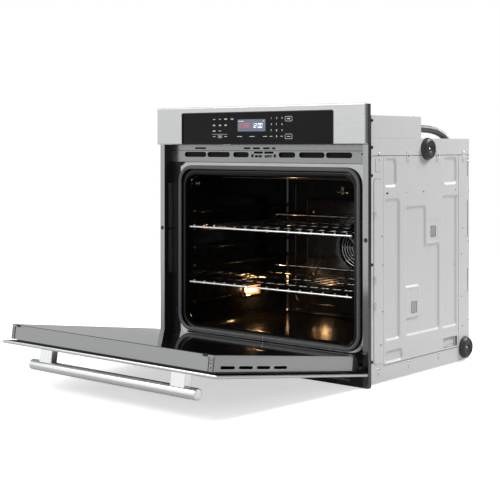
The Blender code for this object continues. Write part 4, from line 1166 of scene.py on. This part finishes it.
# %% Louvre grilles and strap edge loops
def grille(side, y, z, blades=9):
    """Slanted blades in a thin frame."""
    x = span_on(side, BODY_X - 0.0022, BODY_X - 0.0004)
    border = plate([round_rect(y, z, 0.0015),
                    rectangle((y[0] + 0.0012, y[1] - 0.0012), (z[0] + 0.0012, z[1] - 0.0012))],
                   "side", x, 0.0002)
    step = (z[1] - z[0] - 0.003) / blades
    blade = block((-0.0011, 0.0011), ((y[0] - y[1]) / 2 + 0.001, (y[1] - y[0]) / 2 - 0.001),
                  (-0.0004, 0.0004), 0.0002, 1)
    places = [Matrix.Translation((side * (BODY_X - 0.0013), (y[0] + y[1]) / 2,
                                  z[0] + 0.0015 + step * (i + 0.5)))
              @ Matrix.Rotation(side * radians(38), 4, "Y") for i in range(blades)]
    return joined(border, copies(blade, places))


GRILLES = (((FRONT + 0.2470, FRONT + 0.2740), (0.1700, 0.2020)),
           ((FRONT + 0.3470, FRONT + 0.3730), (0.3740, 0.4050)))
LOOP_BEND = ((0.0022, 0.0600, -0.010), (0.0040, 0.0665, -0.008), (0.0040, 0.0665, 0.008),
             (0.0022, 0.0600, 0.010))
SEAM_BOLTS = (0.6980, 0.6270, 0.5530, 0.3180, 0.0620)
for side_name, side in SIDES:
    louvres = [grille(side, y, z) for y, z in GRILLES]
    piece("side_grilles_" + side_name, joined(*louvres), grille_steel, "cabinet")
    loops = [rods([[(side * (BODY_X + out), FRONT + y, z + rise) for out, y, rise in LOOP_BEND]],
                  0.0011, 2) for z in (0.4480, 0.2760, 0.2070)]
    piece("edge_loops_" + side_name, joined(*loops), zinc, "cabinet")
    bolts = [facing_side(side, FRONT + 0.0530, z, BODY_X + 0.0002, 0.3) for z in SEAM_BOLTS]
    piece("seam_bolts_" + side_name, copies(bolt, bolts), satin_black, "cabinet")
print("grilles", len(GRILLES), "loops", len(loops), "bolts", len(SEAM_BOLTS), "on each side")


# %% [markdown]
# Spacer discs
# Four moulded discs keep the body clear of the cabinet. Each has a raised shoulder, a dished face
# and a bright screw at the middle. A lathe profile with a few more points than the frame's disc
# gives the dish and the rolled rim.

# %% Discs
disc_profile = [(0.0036, 0.0092), (0.0080, 0.0092), (0.0096, 0.0108), (0.0130, 0.0112),
                (0.0190, 0.0138), (0.0222, 0.0145), (0.0252, 0.0136), (0.0284, 0.0100),
                (0.0308, 0.0048), (0.0315, 0.0026), (0.0315, 0.0), (0.0036, 0.0), (0.0036, 0.0092)]
for side_name, side in SIDES:
    for where in ("upper", "lower"):
        node = f"bumper_{where}_{side_name}"
        low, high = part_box(node)
        turn = facing_side(side, (low.y + high.y) / 2, (low.z + high.z) / 2, BODY_X + 0.0003)
        disc = lathe(disc_profile, 64)
        disc.transform(turn)
        piece(node + "_disc", disc, rubber, "cabinet", node)
        head = copies(washer_screw, [turn @ Matrix.Translation((0, 0, 0.0082))])
        piece(node + "_screw", head, zinc, "cabinet")
        print(node, "at height", round((low.z + high.z) / 2, 3))


# %% [markdown]
# Control panel print
# The touch panel is glass printed from behind. Its labels are far too small to read, so each is a
# short bar or a pair of bars, as wide as the word would be. The keypad has real numbers, and the
# clock is drawn from seven-segment digits: a digit is only the list of segments that it lights.

# %% Panel print
PANEL_LOW_Z, PANEL_HIGH_Z = (corner.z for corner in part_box("control_glass"))
PANEL_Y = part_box("control_glass")[0].y
INK = (PANEL_Y - 0.00022, PANEL_Y - 0.00002)
SEGMENTS = {"0": "abcdef", "1": "bc", "2": "abged", "3": "abgcd", "5": "afgcd"}


def bar(x, z, width, height=0.0011):
    """One printed bar with its left end at x."""
    return plate([round_rect((x, x + width), (z - height / 2, z + height / 2), height * 0.45, 2)],
                 "front", INK)


def label(x, z, widths):
    """One or two lines of print, centred on x."""
    return [bar(x - width / 2, z + 0.0011 * (len(widths) - 1) - 0.0022 * i, width)
            for i, width in enumerate(widths)]


def outline_key(x, z, width, height):
    """A key marked by a thin rounded outline."""
    outlines = [round_rect((x - width / 2 + inset, x + width / 2 - inset),
                           (z - height / 2 + inset, z + height / 2 - inset), corner)
                for inset, corner in ((0.0, 0.0028), (0.0007, 0.0022))]
    return plate(outlines, "front", INK)


def numeral(text, x, z, size=0.0075):
    """A printed number, centred on x and z."""
    curve = bpy.data.curves.new("numeral", "FONT")
    curve.body = text
    curve.size = size
    curve.align_x = "CENTER"
    curve.align_y = "CENTER"
    curve.extrude = 0.00010
    mesh = from_curve(curve)
    mesh.transform(Matrix.Translation((x, sum(INK) / 2, z)) @ FACING["front"])
    return mesh


# %% Seven-segment digits
def seven_segment(digit, x, z, width, height, depth):
    """The lit segments of one digit, slanted a little as clock digits are."""
    t = height * 0.11
    w, h = width / 2, height / 2
    left, right = (-w - t / 2, -w + t / 2), (w - t / 2, w + t / 2)
    upper, lower = (0.4 * t, h - 0.3 * t), (-h + 0.3 * t, -0.4 * t)
    places = {"a": ((-w, w), (h - t, h)), "d": ((-w, w), (-h, -h + t)),
              "g": ((-w, w), (-t / 2, t / 2)), "f": (left, upper), "b": (right, upper),
              "e": (left, lower), "c": (right, lower)}
    lean = 0.10
    return [plate([[(x + a + lean * b, z + b) for a, b in rectangle(*places[name])]],
                  "front", depth) for name in SEGMENTS[digit]]


# %% Keys and labels
LEFT_COLUMNS = (-0.1501, -0.1275, -0.1056, -0.0812)
LEFT_ROWS = ((0.7068, ((0.0090,), (0.0080,), (0.0110, 0.0095), (0.0075, 0.0100))),
             (0.6893, ((0.0080, 0.0095), (0.0080, 0.0095), (0.0100, 0.0085))),
             (0.6735, ((0.0080, 0.0115), (0.0110,))))
marks = []
for z, row in LEFT_ROWS:
    for x, widths in zip(LEFT_COLUMNS, row):
        marks += label(x, z, widths)
for x, widths in zip(LEFT_COLUMNS, ((0.0100,), (0.0070, 0.0080), (0.0110,))):
    marks += label(x, 0.6573, widths)
marks += [plate([rectangle((-0.1575, -0.0995), (0.6635, 0.6640))], "front", INK),
          plate([rectangle((-0.1350, -0.1200), (0.6532, 0.6614)),
                 rectangle((-0.1345, -0.1205), (0.6537, 0.6609))], "front", INK)]
for x, width in ((-0.0526, 0.0185), (-0.0076, 0.0190), (0.0392, 0.0150), (0.0613, 0.0100),
                 (0.0991, 0.0085)):
    marks += label(x, 0.6570, (width,))
KEY_X, KEY_Z, KEY_STEP_X, KEY_STEP_Z = 0.0618, 0.7071, 0.0192, 0.0170
for n in range(9):
    marks.append(numeral(str(n + 1), KEY_X + KEY_STEP_X * (n % 3), KEY_Z - KEY_STEP_Z * (n // 3)))
marks.append(numeral("0", 0.0810, 0.6568))
for z in (0.7050, 0.6566):
    marks.append(outline_key(0.1232, z, 0.0250, 0.0135))
    marks += label(0.1232, z, (0.0130, 0.0100) if z > 0.7 else (0.0130,))
piece("panel_marks", joined(*marks), ink, "cabinet", sharp=80)
# A thin black outline round the glass: painted shade on its bevelled edge.
surround = plate([round_rect((-0.2766, 0.2766), (PANEL_LOW_Z, PANEL_HIGH_Z + 0.0016), 0.0060),
                  round_rect((-0.2738, 0.2738), (PANEL_LOW_Z + 0.0012, PANEL_HIGH_Z - 0.0012),
                             0.0040)],
                 "front", (FRONT - 0.0004, FRONT + 0.0002), 0.0001)
piece("panel_edge_painted_shade", surround, satin_black, "cabinet")

# %% Clock
CLOCK_X, CLOCK_Z = (-0.0603, 0.0413), (0.6713, 0.7050)
piece("clock_window", plate([rectangle(CLOCK_X, CLOCK_Z)], "front", INK), clock_panel, "cabinet")
FACE = (INK[0] - 0.00018, INK[0] - 0.00001)


def on_clock(*outlines):
    """A lit mark on the clock's face."""
    return plate(outlines, "front", FACE)


clock = []
for digit, x in (("1", -0.0030), ("2", 0.0060), ("0", 0.0180), ("0", 0.0265)):
    clock += seven_segment(digit, x, 0.6873, 0.0056, 0.0132, FACE)
clock += [on_clock(circle(0.0123 + 0.0003 * k, 0.6873 + 0.0026 * k, 0.0007, 8)) for k in (-1, 1)]
clock += [on_clock(rectangle((x, x + width), (0.6995, 0.7005)))
          for x, width in ((-0.0575, 0.0050), (-0.0510, 0.0040), (-0.0455, 0.0070),
                           (0.0330, 0.0045))]
piece("clock_digits", joined(*clock), clock_white, "cabinet")
heat = []
for digit, x in (("3", -0.0370), ("5", -0.0290), ("0", -0.0210)):
    heat += seven_segment(digit, x, 0.6880, 0.0050, 0.0108, FACE)
heat.append(on_clock(circle(-0.0158, 0.6925, 0.0013, 16), circle(-0.0158, 0.6925, 0.0007, 16)))
heat.append(on_clock(circle(-0.0497, 0.6875, 0.0058, 32), circle(-0.0497, 0.6875, 0.0050, 32)))
heat.append(on_clock(round_rect((-0.0502, -0.0492), (0.6848, 0.6902), 0.0004, 2)))
piece("clock_heat_digits", joined(*heat), clock_red, "cabinet")
print("panel marks", len(marks), "clock marks", len(clock) + len(heat))


# %% [markdown]
# Front frame and trims
# Around the mouth are the screws that a fitter meets: through the side trims into the cabinet,
# through the flange, and at the hinge receivers. The vent trim has a short return that the light
# catches as a line, a black strip of painted shadow under its step, and springs behind its latch
# slots. The trims' inner faces and the left edge of the flange are black, as painted shade; the
# left trim has two light grey strips; the trims' outer edges carry dark steel as painted shade.
# A black plate of painted shade closes the duct behind the vent slots, which would otherwise show
# bare sheet.

# %% Front details
trim_back = FRONT + 0.0275
flange_screws = [facing_front(s * 0.3445, flange_y, z, 0.5 * k)
                 for s in (-1, 1) for k, z in enumerate((0.5765, 0.1380))]
vent_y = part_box("vent_trim")[0].y
vent_screws = [facing_front(s * 0.3370, vent_y, 0.6090, 0.4) for s in (-1, 1)]
vent_screws += [facing_front(x, vent_y + 0.0016, 0.6026, 0.9) for x in (-0.0410, 0.0410)]
receiver_screws = [facing_front(s * x, flange_y, z, 0.7) for s in (-1, 1)
                   for x, z in ((0.3400, 0.0900), (0.3495, 0.0960), (0.3380, 0.0720))]
# The front screws are in the same darkened steel, painted shade.
piece("front_screws", joined(copies(body_screw, flange_screws), copies(small_screw, vent_screws),
                             copies(washer_screw, receiver_screws)), painted_shade_steel, "cabinet")
trim_screws = [facing_front(s * 0.3692, trim_back - 0.0040, 0.3850, 0.6) for s in (-1, 1)]
piece("trim_screws", copies(bolt, trim_screws), satin_black, "cabinet")

# %% Vent trim, linings and trim strips
TRIM_INNER = 0.3599     # the side trims' inner faces, from the middle of the oven
between_trims = (-TRIM_INNER + 0.0001, TRIM_INNER - 0.0001)
lip = block(between_trims, (vent_y - 0.0024, vent_y - 0.0004), (0.5835, 0.5848), 0.0005)
piece("vent_trim_fold", lip, trim_grey, "cabinet")
# A black strip along the vent trim: a painted shadow line under its step.
painted_shadow_line = block(between_trims, (vent_y - 0.0004, vent_y + 0.0002), (0.6166, 0.6176), 0.0001, 1)
piece("vent_trim_painted_shadow_line", painted_shadow_line, painted_shade_black, "cabinet")
latch = [rods([[(x, vent_y + 0.0050, 0.6045), (x + 0.0040, vent_y + 0.0030, 0.6010),
                (x + 0.0110, vent_y + 0.0034, 0.5985)]], 0.0006, 2)
         for x in (-0.0290, -0.0120, 0.0060, 0.0180)]
piece("door_latch_springs", joined(*latch), zinc, "cabinet")

# Painted shade: black faces on the trims' inner walls, and a black strip on the flange's left edge
# beside the gasket.
painted_shade_liners = [block(span_on(side, TRIM_INNER + 0.0005, TRIM_INNER),
                (FRONT + 0.0152, flange_y - 0.0002), (0.0290, 0.6340), 0.0001, 1)
          for _, side in SIDES]
painted_shade_liners.append(block((-TRIM_INNER, -0.3265), (flange_y - 0.0003, flange_y - 0.0001),
                    (0.0290, 0.5828), 0.0, 1))
piece("trim_inner_painted_shade", joined(*painted_shade_liners), satin_black, "cabinet")
# A black plate of painted shade behind the vent slots.
duct = block((-0.3200, 0.3200), (vent_y + 0.0080, vent_y + 0.0086), (0.5850, 0.6320), 0.0, 1)
piece("vent_duct_shadow", duct, painted_shade_black, "cabinet")
# Thin sheets of the darkened steel over each side trim's outer edge: painted shade.
edge_shade_sheets = [block(span_on(side, 0.3775, 0.3778), (FRONT + 0.0146, FRONT + 0.0274),
               (0.0004, 0.6338), 0.0, 1) for _, side in SIDES]
piece("trim_edge_painted_shade", joined(*edge_shade_sheets), painted_shade_steel, "cabinet")

receivers = [block(span_on(side, 0.3352, 0.3590), (flange_y - 0.0016, flange_y - 0.0003),
                   (0.0640, 0.1040), 0.0006) for _, side in SIDES]
piece("hinge_receivers", joined(*receivers), satin_black, "cabinet")

# Two light grey strips on the left trim's inner face.
trim_strips = [block((-TRIM_INNER, -TRIM_INNER + 0.0011), (FRONT + 0.0315, FRONT + 0.0470), span,
                     0.0004) for span in ((0.3855, 0.5188), (0.2495, 0.3785))]
piece("left_trim_strips", joined(*trim_strips), trim_grey, "cabinet")
print("front screws", len(flange_screws + vent_screws + receiver_screws + trim_screws))


# %% [markdown]
# Inside the cavity
# The liner is smooth, so a few small features tell its size: a shallow step round the back wall,
# the clips of the broil element, the probe's flange and the screws of the fan cover. They are
# enamelled with the liner or plated, and small, but the lamp finds every one of them.

# %% Cavity details
liner_back = FRONT + 0.5358
wall_step = [(x, liner_back - 0.0012, z)
             for x, z in round_rect((-0.268, 0.268), (0.118, 0.520), 0.030, 10)]
piece("back_wall_step", rods([wall_step], 0.0026, 3, closed=True), enamel, "cabinet")
cover_screws = [facing_front(s * 0.1720, cover_low.y, z, 0.5)
                for s in (-1, 1) for z in (0.4200, 0.2200)]
piece("fan_cover_screws", copies(body_screw, cover_screws), zinc, "cabinet")
broil_low, broil_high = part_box("broil_element")
broil_z = (broil_low.z + broil_high.z) / 2
CLIP_REACH, CLIP_LOW = 0.050, broil_z - 0.0042
clips = []
for x in (-0.1875, 0.1875):
    for y in (FRONT + 0.200, FRONT + 0.360):
        hook = [(x + out, y, z) for out, z in (
            (-CLIP_REACH, broil_z + 0.001), (-CLIP_REACH, CLIP_LOW),
            (CLIP_REACH, CLIP_LOW), (CLIP_REACH, broil_z + 0.001))]
        clips += [rods([hook], 0.0012, 2), rods([[(x, y, CLIP_LOW), (x, y, 0.5525)]], 0.0012, 2)]
piece("broil_clips", joined(*clips), chrome, "cabinet")
probe_flange = block((-0.0850, -0.0750), (liner_back - 0.0030, liner_back - 0.0004),
                     (0.4760, 0.5000), 0.0008)
piece("probe_flange", probe_flange, zinc, "cabinet")
print("cover screws", len(cover_screws), "broil clips", len(clips) // 2)


# %% [markdown]
# Door edges
# The door's walls are folded and closed at the corners by a narrow strip with punched marks, held
# between two open seams. The side vents have a rolled rim. Both are made where the door would be if
# it were shut and then turned by the hinge, so that all sizes can be read off the frame's own door.

# %% Door frame of reference
HINGE = next(joint for joint in frame["joints"] if joint["name"] == "door_hinge")
DOOR_OPEN = radians(82.0)
hinge_at = Vector(HINGE["pos_m"])
OPEN = (Matrix.Translation(hinge_at) @ Matrix.Rotation(DOOR_OPEN, 4, "X")
        @ Matrix.Translation(-hinge_at))
DOOR_X, DOOR_TOP = 0.3550, 0.6205
DOOR_Y = (FRONT + 0.0030, FRONT + 0.0362)
mid_y = sum(DOOR_Y) / 2


def door_piece(name, mesh, material, *stands_for, **looks):
    """A piece built on the shut door and swung open with it."""
    mesh.transform(OPEN)
    return piece(name, mesh, material, "door", *stands_for, **looks)


# %% Door corner strips and seams
wall = (DOOR_Y[0] + 0.0004, DOOR_Y[1] - 0.0004)
door_seams, corner_strips, dents = [], [], []
for side in (-1, 1):
    top_x = span_on(side, DOOR_X - 0.0146, DOOR_X - 0.0122)
    door_seams.append(block(top_x, wall, (DOOR_TOP - 0.0006, DOOR_TOP + 0.0003), 0.0002))
    side_x = span_on(side, DOOR_X - 0.0006, DOOR_X + 0.0003)
    door_seams.append(block(side_x, wall, (DOOR_TOP - 0.0036, DOOR_TOP - 0.0012), 0.0002))
    corner_strips.append(block(span_on(side, DOOR_X - 0.0118, DOOR_X - 0.0008), wall,
                               (DOOR_TOP - 0.0008, DOOR_TOP + 0.0006), 0.0005))
    for k, y in enumerate((mid_y - 0.0080, mid_y + 0.0020, mid_y + 0.0090)):
        mark = lathe([(0.0, 0.0004), (0.0014, 0.0004), (0.0018, 0.0), (0.0, 0.0)], 16)
        mark_x = side * (DOOR_X - 0.0062 - 0.001 * (k % 2))
        mark.transform(Matrix.Translation((mark_x, y, DOOR_TOP + 0.0005)))
        dents.append(mark)
# The open seams are black strips and the punched marks black dents: painted shade.
door_piece("door_seams", joined(*door_seams), painted_shade_black)
door_piece("door_corner_strips", joined(*corner_strips), trim_grey)
door_piece("door_corner_marks", joined(*dents), painted_shade_black)
print("corner marks", len(dents))

# %% Door vent rims, glass clips and skin notches
VENT_TOP, VENT_STEP, RIM_WIDE = 0.5695, 0.0643, 0.0010
vent_rims = []
for side in (-1, 1):
    for i in range(4):
        middle = VENT_TOP - VENT_STEP * i
        rim = [round_rect((FRONT + 0.0077 + inset, FRONT + 0.0173 - inset),
                          (middle - 0.0261 + inset, middle + 0.0261 - inset), 0.0047 - inset)
               for inset in (0.0, RIM_WIDE)]
        vent_x = span_on(side, DOOR_X - 0.0004, DOOR_X + 0.0006)
        vent_rims.append(plate(rim, "side", vent_x, 0.0002))
door_piece("door_vent_rims", joined(*vent_rims), zinc)
glass_y = DOOR_Y[1] + 0.0043
glass_clips = [block((x - 0.008, x + 0.008), (DOOR_Y[1] - 0.0010, glass_y + 0.0008),
                     (DOOR_TOP - 0.0022, DOOR_TOP + 0.0010), 0.0005) for x in (-0.3300, 0.3300)]
door_piece("door_glass_clips", joined(*glass_clips), satin_black)
channel, seal = [], []
for low, high, made in ((DOOR_Y[1] - 0.0008, DOOR_Y[1] + 0.0034, channel),
                        (DOOR_Y[1] + 0.0034, DOOR_Y[1] + 0.0047, seal)):
    for side in (-1, 1):
        x = span_on(side, DOOR_X - 0.0008, DOOR_X + 0.0002)
        made.append(block(x, (low, high), (0.0800, DOOR_TOP + 0.0002), 0.0002))
    made.append(block((-DOOR_X, DOOR_X), (low, high), (DOOR_TOP - 0.0008, DOOR_TOP + 0.0002),
                      0.0002))
door_piece("door_glass_channel", joined(*channel), painted)
door_piece("door_glass_seal", joined(*seal), satin_black)
print("door vent rims", len(vent_rims))

# %% Handle
HANDLE_R = 0.014
HANDLE_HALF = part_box("handle_bar")[1].x
HANDLE_OUT, HANDLE_Z = 0.0553, 0.5910
GROOVE_X, GROOVE_DEPTH = 0.1960, 0.0004
POST_X = 0.2340
# Half of the bar's outline, from its end to its middle: a turned end and then a fine joint line.
half = [(0.0, HANDLE_HALF), (HANDLE_R - 0.0026, HANDLE_HALF),
        (HANDLE_R - 0.0006, HANDLE_HALF - 0.0012), (HANDLE_R, HANDLE_HALF - 0.0030),
        (HANDLE_R, GROOVE_X + GROOVE_DEPTH), (HANDLE_R - GROOVE_DEPTH, GROOVE_X),
        (HANDLE_R, GROOVE_X - GROOVE_DEPTH)]
bar_mesh = lathe(half + [(r, -h) for r, h in reversed(half)], 96)
bar_mesh.transform(Matrix.Translation((0, FRONT - HANDLE_OUT, HANDLE_Z))
                   @ Matrix.Rotation(pi / 2, 4, "Y"))
door_piece("handle_rail", bar_mesh, polished, "handle_bar", sharp=25)
feet = [block((x - 0.0238, x + 0.0238), (FRONT - 0.0118, FRONT - 0.0104),
              (HANDLE_Z - 0.0113, HANDLE_Z + 0.0113), 0.0006) for x in (-POST_X, POST_X)]
door_piece("handle_feet", joined(*feet), polished)
print("handle", round(2 * HANDLE_HALF, 3), "m long")


# %% [markdown]
# Top and back
# Nobody sees these once the oven is in its cabinet, but they are where it is wired and cooled. The
# cover has a seam, screws and louvres, and the back panel has a screw pattern, louvres and four
# raised ribs. Louvres are rows of half-round hoods, so one hood is made and copied.

# %% Top and back details
cover_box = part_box("electronics_cover")
top_z = cover_box[1].z
back_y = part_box("rear_panel")[1].y
cover_rows = (cover_box[0].y + 0.012, cover_box[1].y - 0.012)
cover_places = [(x, y) for x in (-0.345, -0.115, 0.115, 0.345) for y in cover_rows]
top_screws = [Matrix.Translation((x, y, top_z)) @ Matrix.Rotation(0.5 * k, 4, "Z")
              for k, (x, y) in enumerate(cover_places)]
back_screws = [facing_back(s * 0.330, cover_box[1].y, z, 0.3)
               for s in (-1, 1) for z in (0.668, 0.700)]
PANEL_SCREWS = ((0.326, 0.630), (0.326, 0.430), (0.326, 0.230), (0.326, 0.030),
                (0.110, 0.634), (0.110, 0.026))
panel_screws = [facing_back(s * x, back_y, z, 0.4 * k)
                for s in (-1, 1) for k, (x, z) in enumerate(PANEL_SCREWS)]
piece("top_and_back_screws", joined(copies(body_screw, top_screws + panel_screws),
                                    copies(small_screw, back_screws)), zinc, "cabinet")


def louvre(length=0.046, width=0.0052, height=0.0030):
    """A pressed hood: a half-oval section that closes at both ends, lying along X."""
    made = bmesh.new()
    rows = []
    for i in range(13):
        along = -1 + i / 6
        swell = max(0.0, 1 - along ** 6) ** 0.5
        rows.append([made.verts.new((along * length / 2,
                                     width * cos(pi * j / 8) * (0.25 + 0.75 * swell),
                                     height * sin(pi * j / 8) * swell)) for j in range(9)])
    for first, second in zip(rows, rows[1:]):
        for j in range(8):
            made.faces.new((first[j], first[j + 1], second[j + 1], second[j]))
    bmesh.ops.recalc_face_normals(made, faces=made.faces)
    return as_mesh(made, "louvre")


# %% Louvres, ribs and seam
hood = louvre()
hoods = [Matrix.Translation((x, cover_box[0].y + 0.060 + 0.016 * row, top_z + 0.0001))
         for x in (-0.26, -0.20, -0.14, 0.14, 0.20, 0.26) for row in range(8)]
hoods += [facing_back(x, back_y + 0.0001, 0.300 - 0.018 * row)
          for x in (-0.13, -0.07, -0.01, 0.05, 0.11) for row in range(7)]
piece("cooling_louvres", copies(hood, hoods), galvanised, "cabinet")
back_ribs = [[(x, back_y, 0.060), (x, back_y, 0.440)] for x in (-0.285, 0.285)]
back_ribs += [[(-0.240, back_y, z), (0.240, back_y, z)] for z in (0.400, 0.110)]
piece("back_panel_ribs", rods(back_ribs, 0.0040, 4), galvanised, "cabinet")
cover_seam = block((-0.350, 0.350), (cover_box[1].y - 0.024, cover_box[1].y - 0.0228),
                   (top_z, top_z + 0.0007), 0.0003)
piece("cover_seam", cover_seam, galvanised, "cabinet")
print("louvres", len(hoods), "ribs", len(back_ribs))


# %% [markdown]
# Studio
# A pale floor, a bright surround and two soft lights. Large sources are what make brushed steel
# look like steel: it mirrors them as broad soft bands. So the surround grows brighter towards one
# side, the key light adds to it, and the side light skims the pressed panel to show its relief. The
# floor fades out far from the oven, and is darker to reflections than it is to the eye.

# %% Floor
floor_mesh = bpy.data.meshes.new("studio_floor")
floor_half = 14.0
floor_mesh.from_pydata([(-floor_half, -floor_half, 0), (floor_half, -floor_half, 0),
                        (floor_half, floor_half, 0), (-floor_half, floor_half, 0)], [], [(0, 1, 2, 3)])
floor = bpy.data.objects.new("studio_floor", floor_mesh)
floor.location.z = -0.0005
floor_paint = finish("studio_floor", MOTTLE, grey(0.88), grey(0.90), 0.75, 0.85, 0.0,
                     stretch=(0.6, 0.6, 0.6))
nodes, links = floor_paint.node_tree.nodes, floor_paint.node_tree.links
skin = nodes["Principled BSDF"]
place = nodes.new("ShaderNodeTexCoord")
reach = nodes.new("ShaderNodeVectorMath")
reach.operation = "LENGTH"
fade = nodes.new("ShaderNodeMapRange")
for socket_name, value in (("From Min", 1.6), ("From Max", 3.4), ("To Min", 1.0), ("To Max", 0.0)):
    fade.inputs[socket_name].default_value = value
links.new(place.outputs["Object"], reach.inputs[0])
links.new(reach.outputs["Value"], fade.inputs["Value"])
links.new(fade.outputs["Result"], skin.inputs["Alpha"])
ray = nodes.new("ShaderNodeLightPath")
bounce = nodes.new("ShaderNodeMix")
bounce.data_type = "RGBA"
bounce.inputs[6].default_value = (0.56, 0.56, 0.56, 1)
links.new(ray.outputs["Is Camera Ray"], bounce.inputs["Factor"])
links.new(ray.outputs["Is Camera Ray"], skin.inputs["Emission Strength"])
skin.inputs["Emission Color"].default_value = (0.58, 0.58, 0.58, 1)
links.new(nodes["Group"].outputs["Colour"], bounce.inputs[7])
links.new(bounce.outputs[2], skin.inputs["Base Color"])
floor_mesh.materials.append(floor_paint)
bpy.context.scene.collection.objects.link(floor)
print("floor", 2 * floor_half, "m wide")

# %% World
world = bpy.data.worlds.new("studio")
world.use_nodes = True
bpy.context.scene.world = world
bpy.context.scene.view_settings.view_transform = "Standard"
nodes, links = world.node_tree.nodes, world.node_tree.links
soft = nodes["Background"]
place = nodes.new("ShaderNodeTexCoord")
towards = nodes.new("ShaderNodeVectorMath")
towards.operation = "DOT_PRODUCT"
towards.inputs[1].default_value = (-0.58, -0.74, 0.34)
level = nodes.new("ShaderNodeMapRange")
for socket_name, value in (("From Min", -1.0), ("From Max", 1.0), ("To Min", 0.15),
                           ("To Max", 1.02)):
    level.inputs[socket_name].default_value = value
links.new(place.outputs["Generated"], towards.inputs[0])
links.new(towards.outputs["Value"], level.inputs["Value"])
links.new(level.outputs["Result"], soft.inputs["Strength"])
soft.inputs["Color"].default_value = (0.98, 0.99, 1.0, 1)
plain = nodes.new("ShaderNodeBackground")
plain.inputs["Color"].default_value = (1, 1, 1, 1)
ray = nodes.new("ShaderNodeLightPath")
choose = nodes.new("ShaderNodeMixShader")
links.new(ray.outputs["Is Camera Ray"], choose.inputs["Fac"])
links.new(soft.outputs["Background"], choose.inputs[1])
links.new(plain.outputs["Background"], choose.inputs[2])
links.new(choose.outputs["Shader"], nodes["World Output"].inputs["Surface"])
print("surround", world.name)


# %% Lights
def soft_light(name, place, target, size, power):
    """A large rectangular lamp that faces a point."""
    data = bpy.data.lights.new(name, "AREA")
    data.shape = "RECTANGLE"
    data.size, data.size_y = size
    data.energy = power
    light = bpy.data.objects.new(name, data)
    light.location = place
    light.rotation_euler = (Vector(target) - Vector(place)).to_track_quat("-Z", "Y").to_euler()
    bpy.context.scene.collection.objects.link(light)
    print(name, power, "W")


soft_light("key", (-1.6, -3.0, 2.4), (0, -0.2, 0.30), (2.2, 1.4), 36)
soft_light("side", (1.7, 1.6, 2.6), (0.36, 0.02, 0.32), (1.0, 1.0), 104)

# %% [markdown]
# Finish
# The last cell brings the scene up to date.

# %% Finish
bpy.context.view_layer.update()
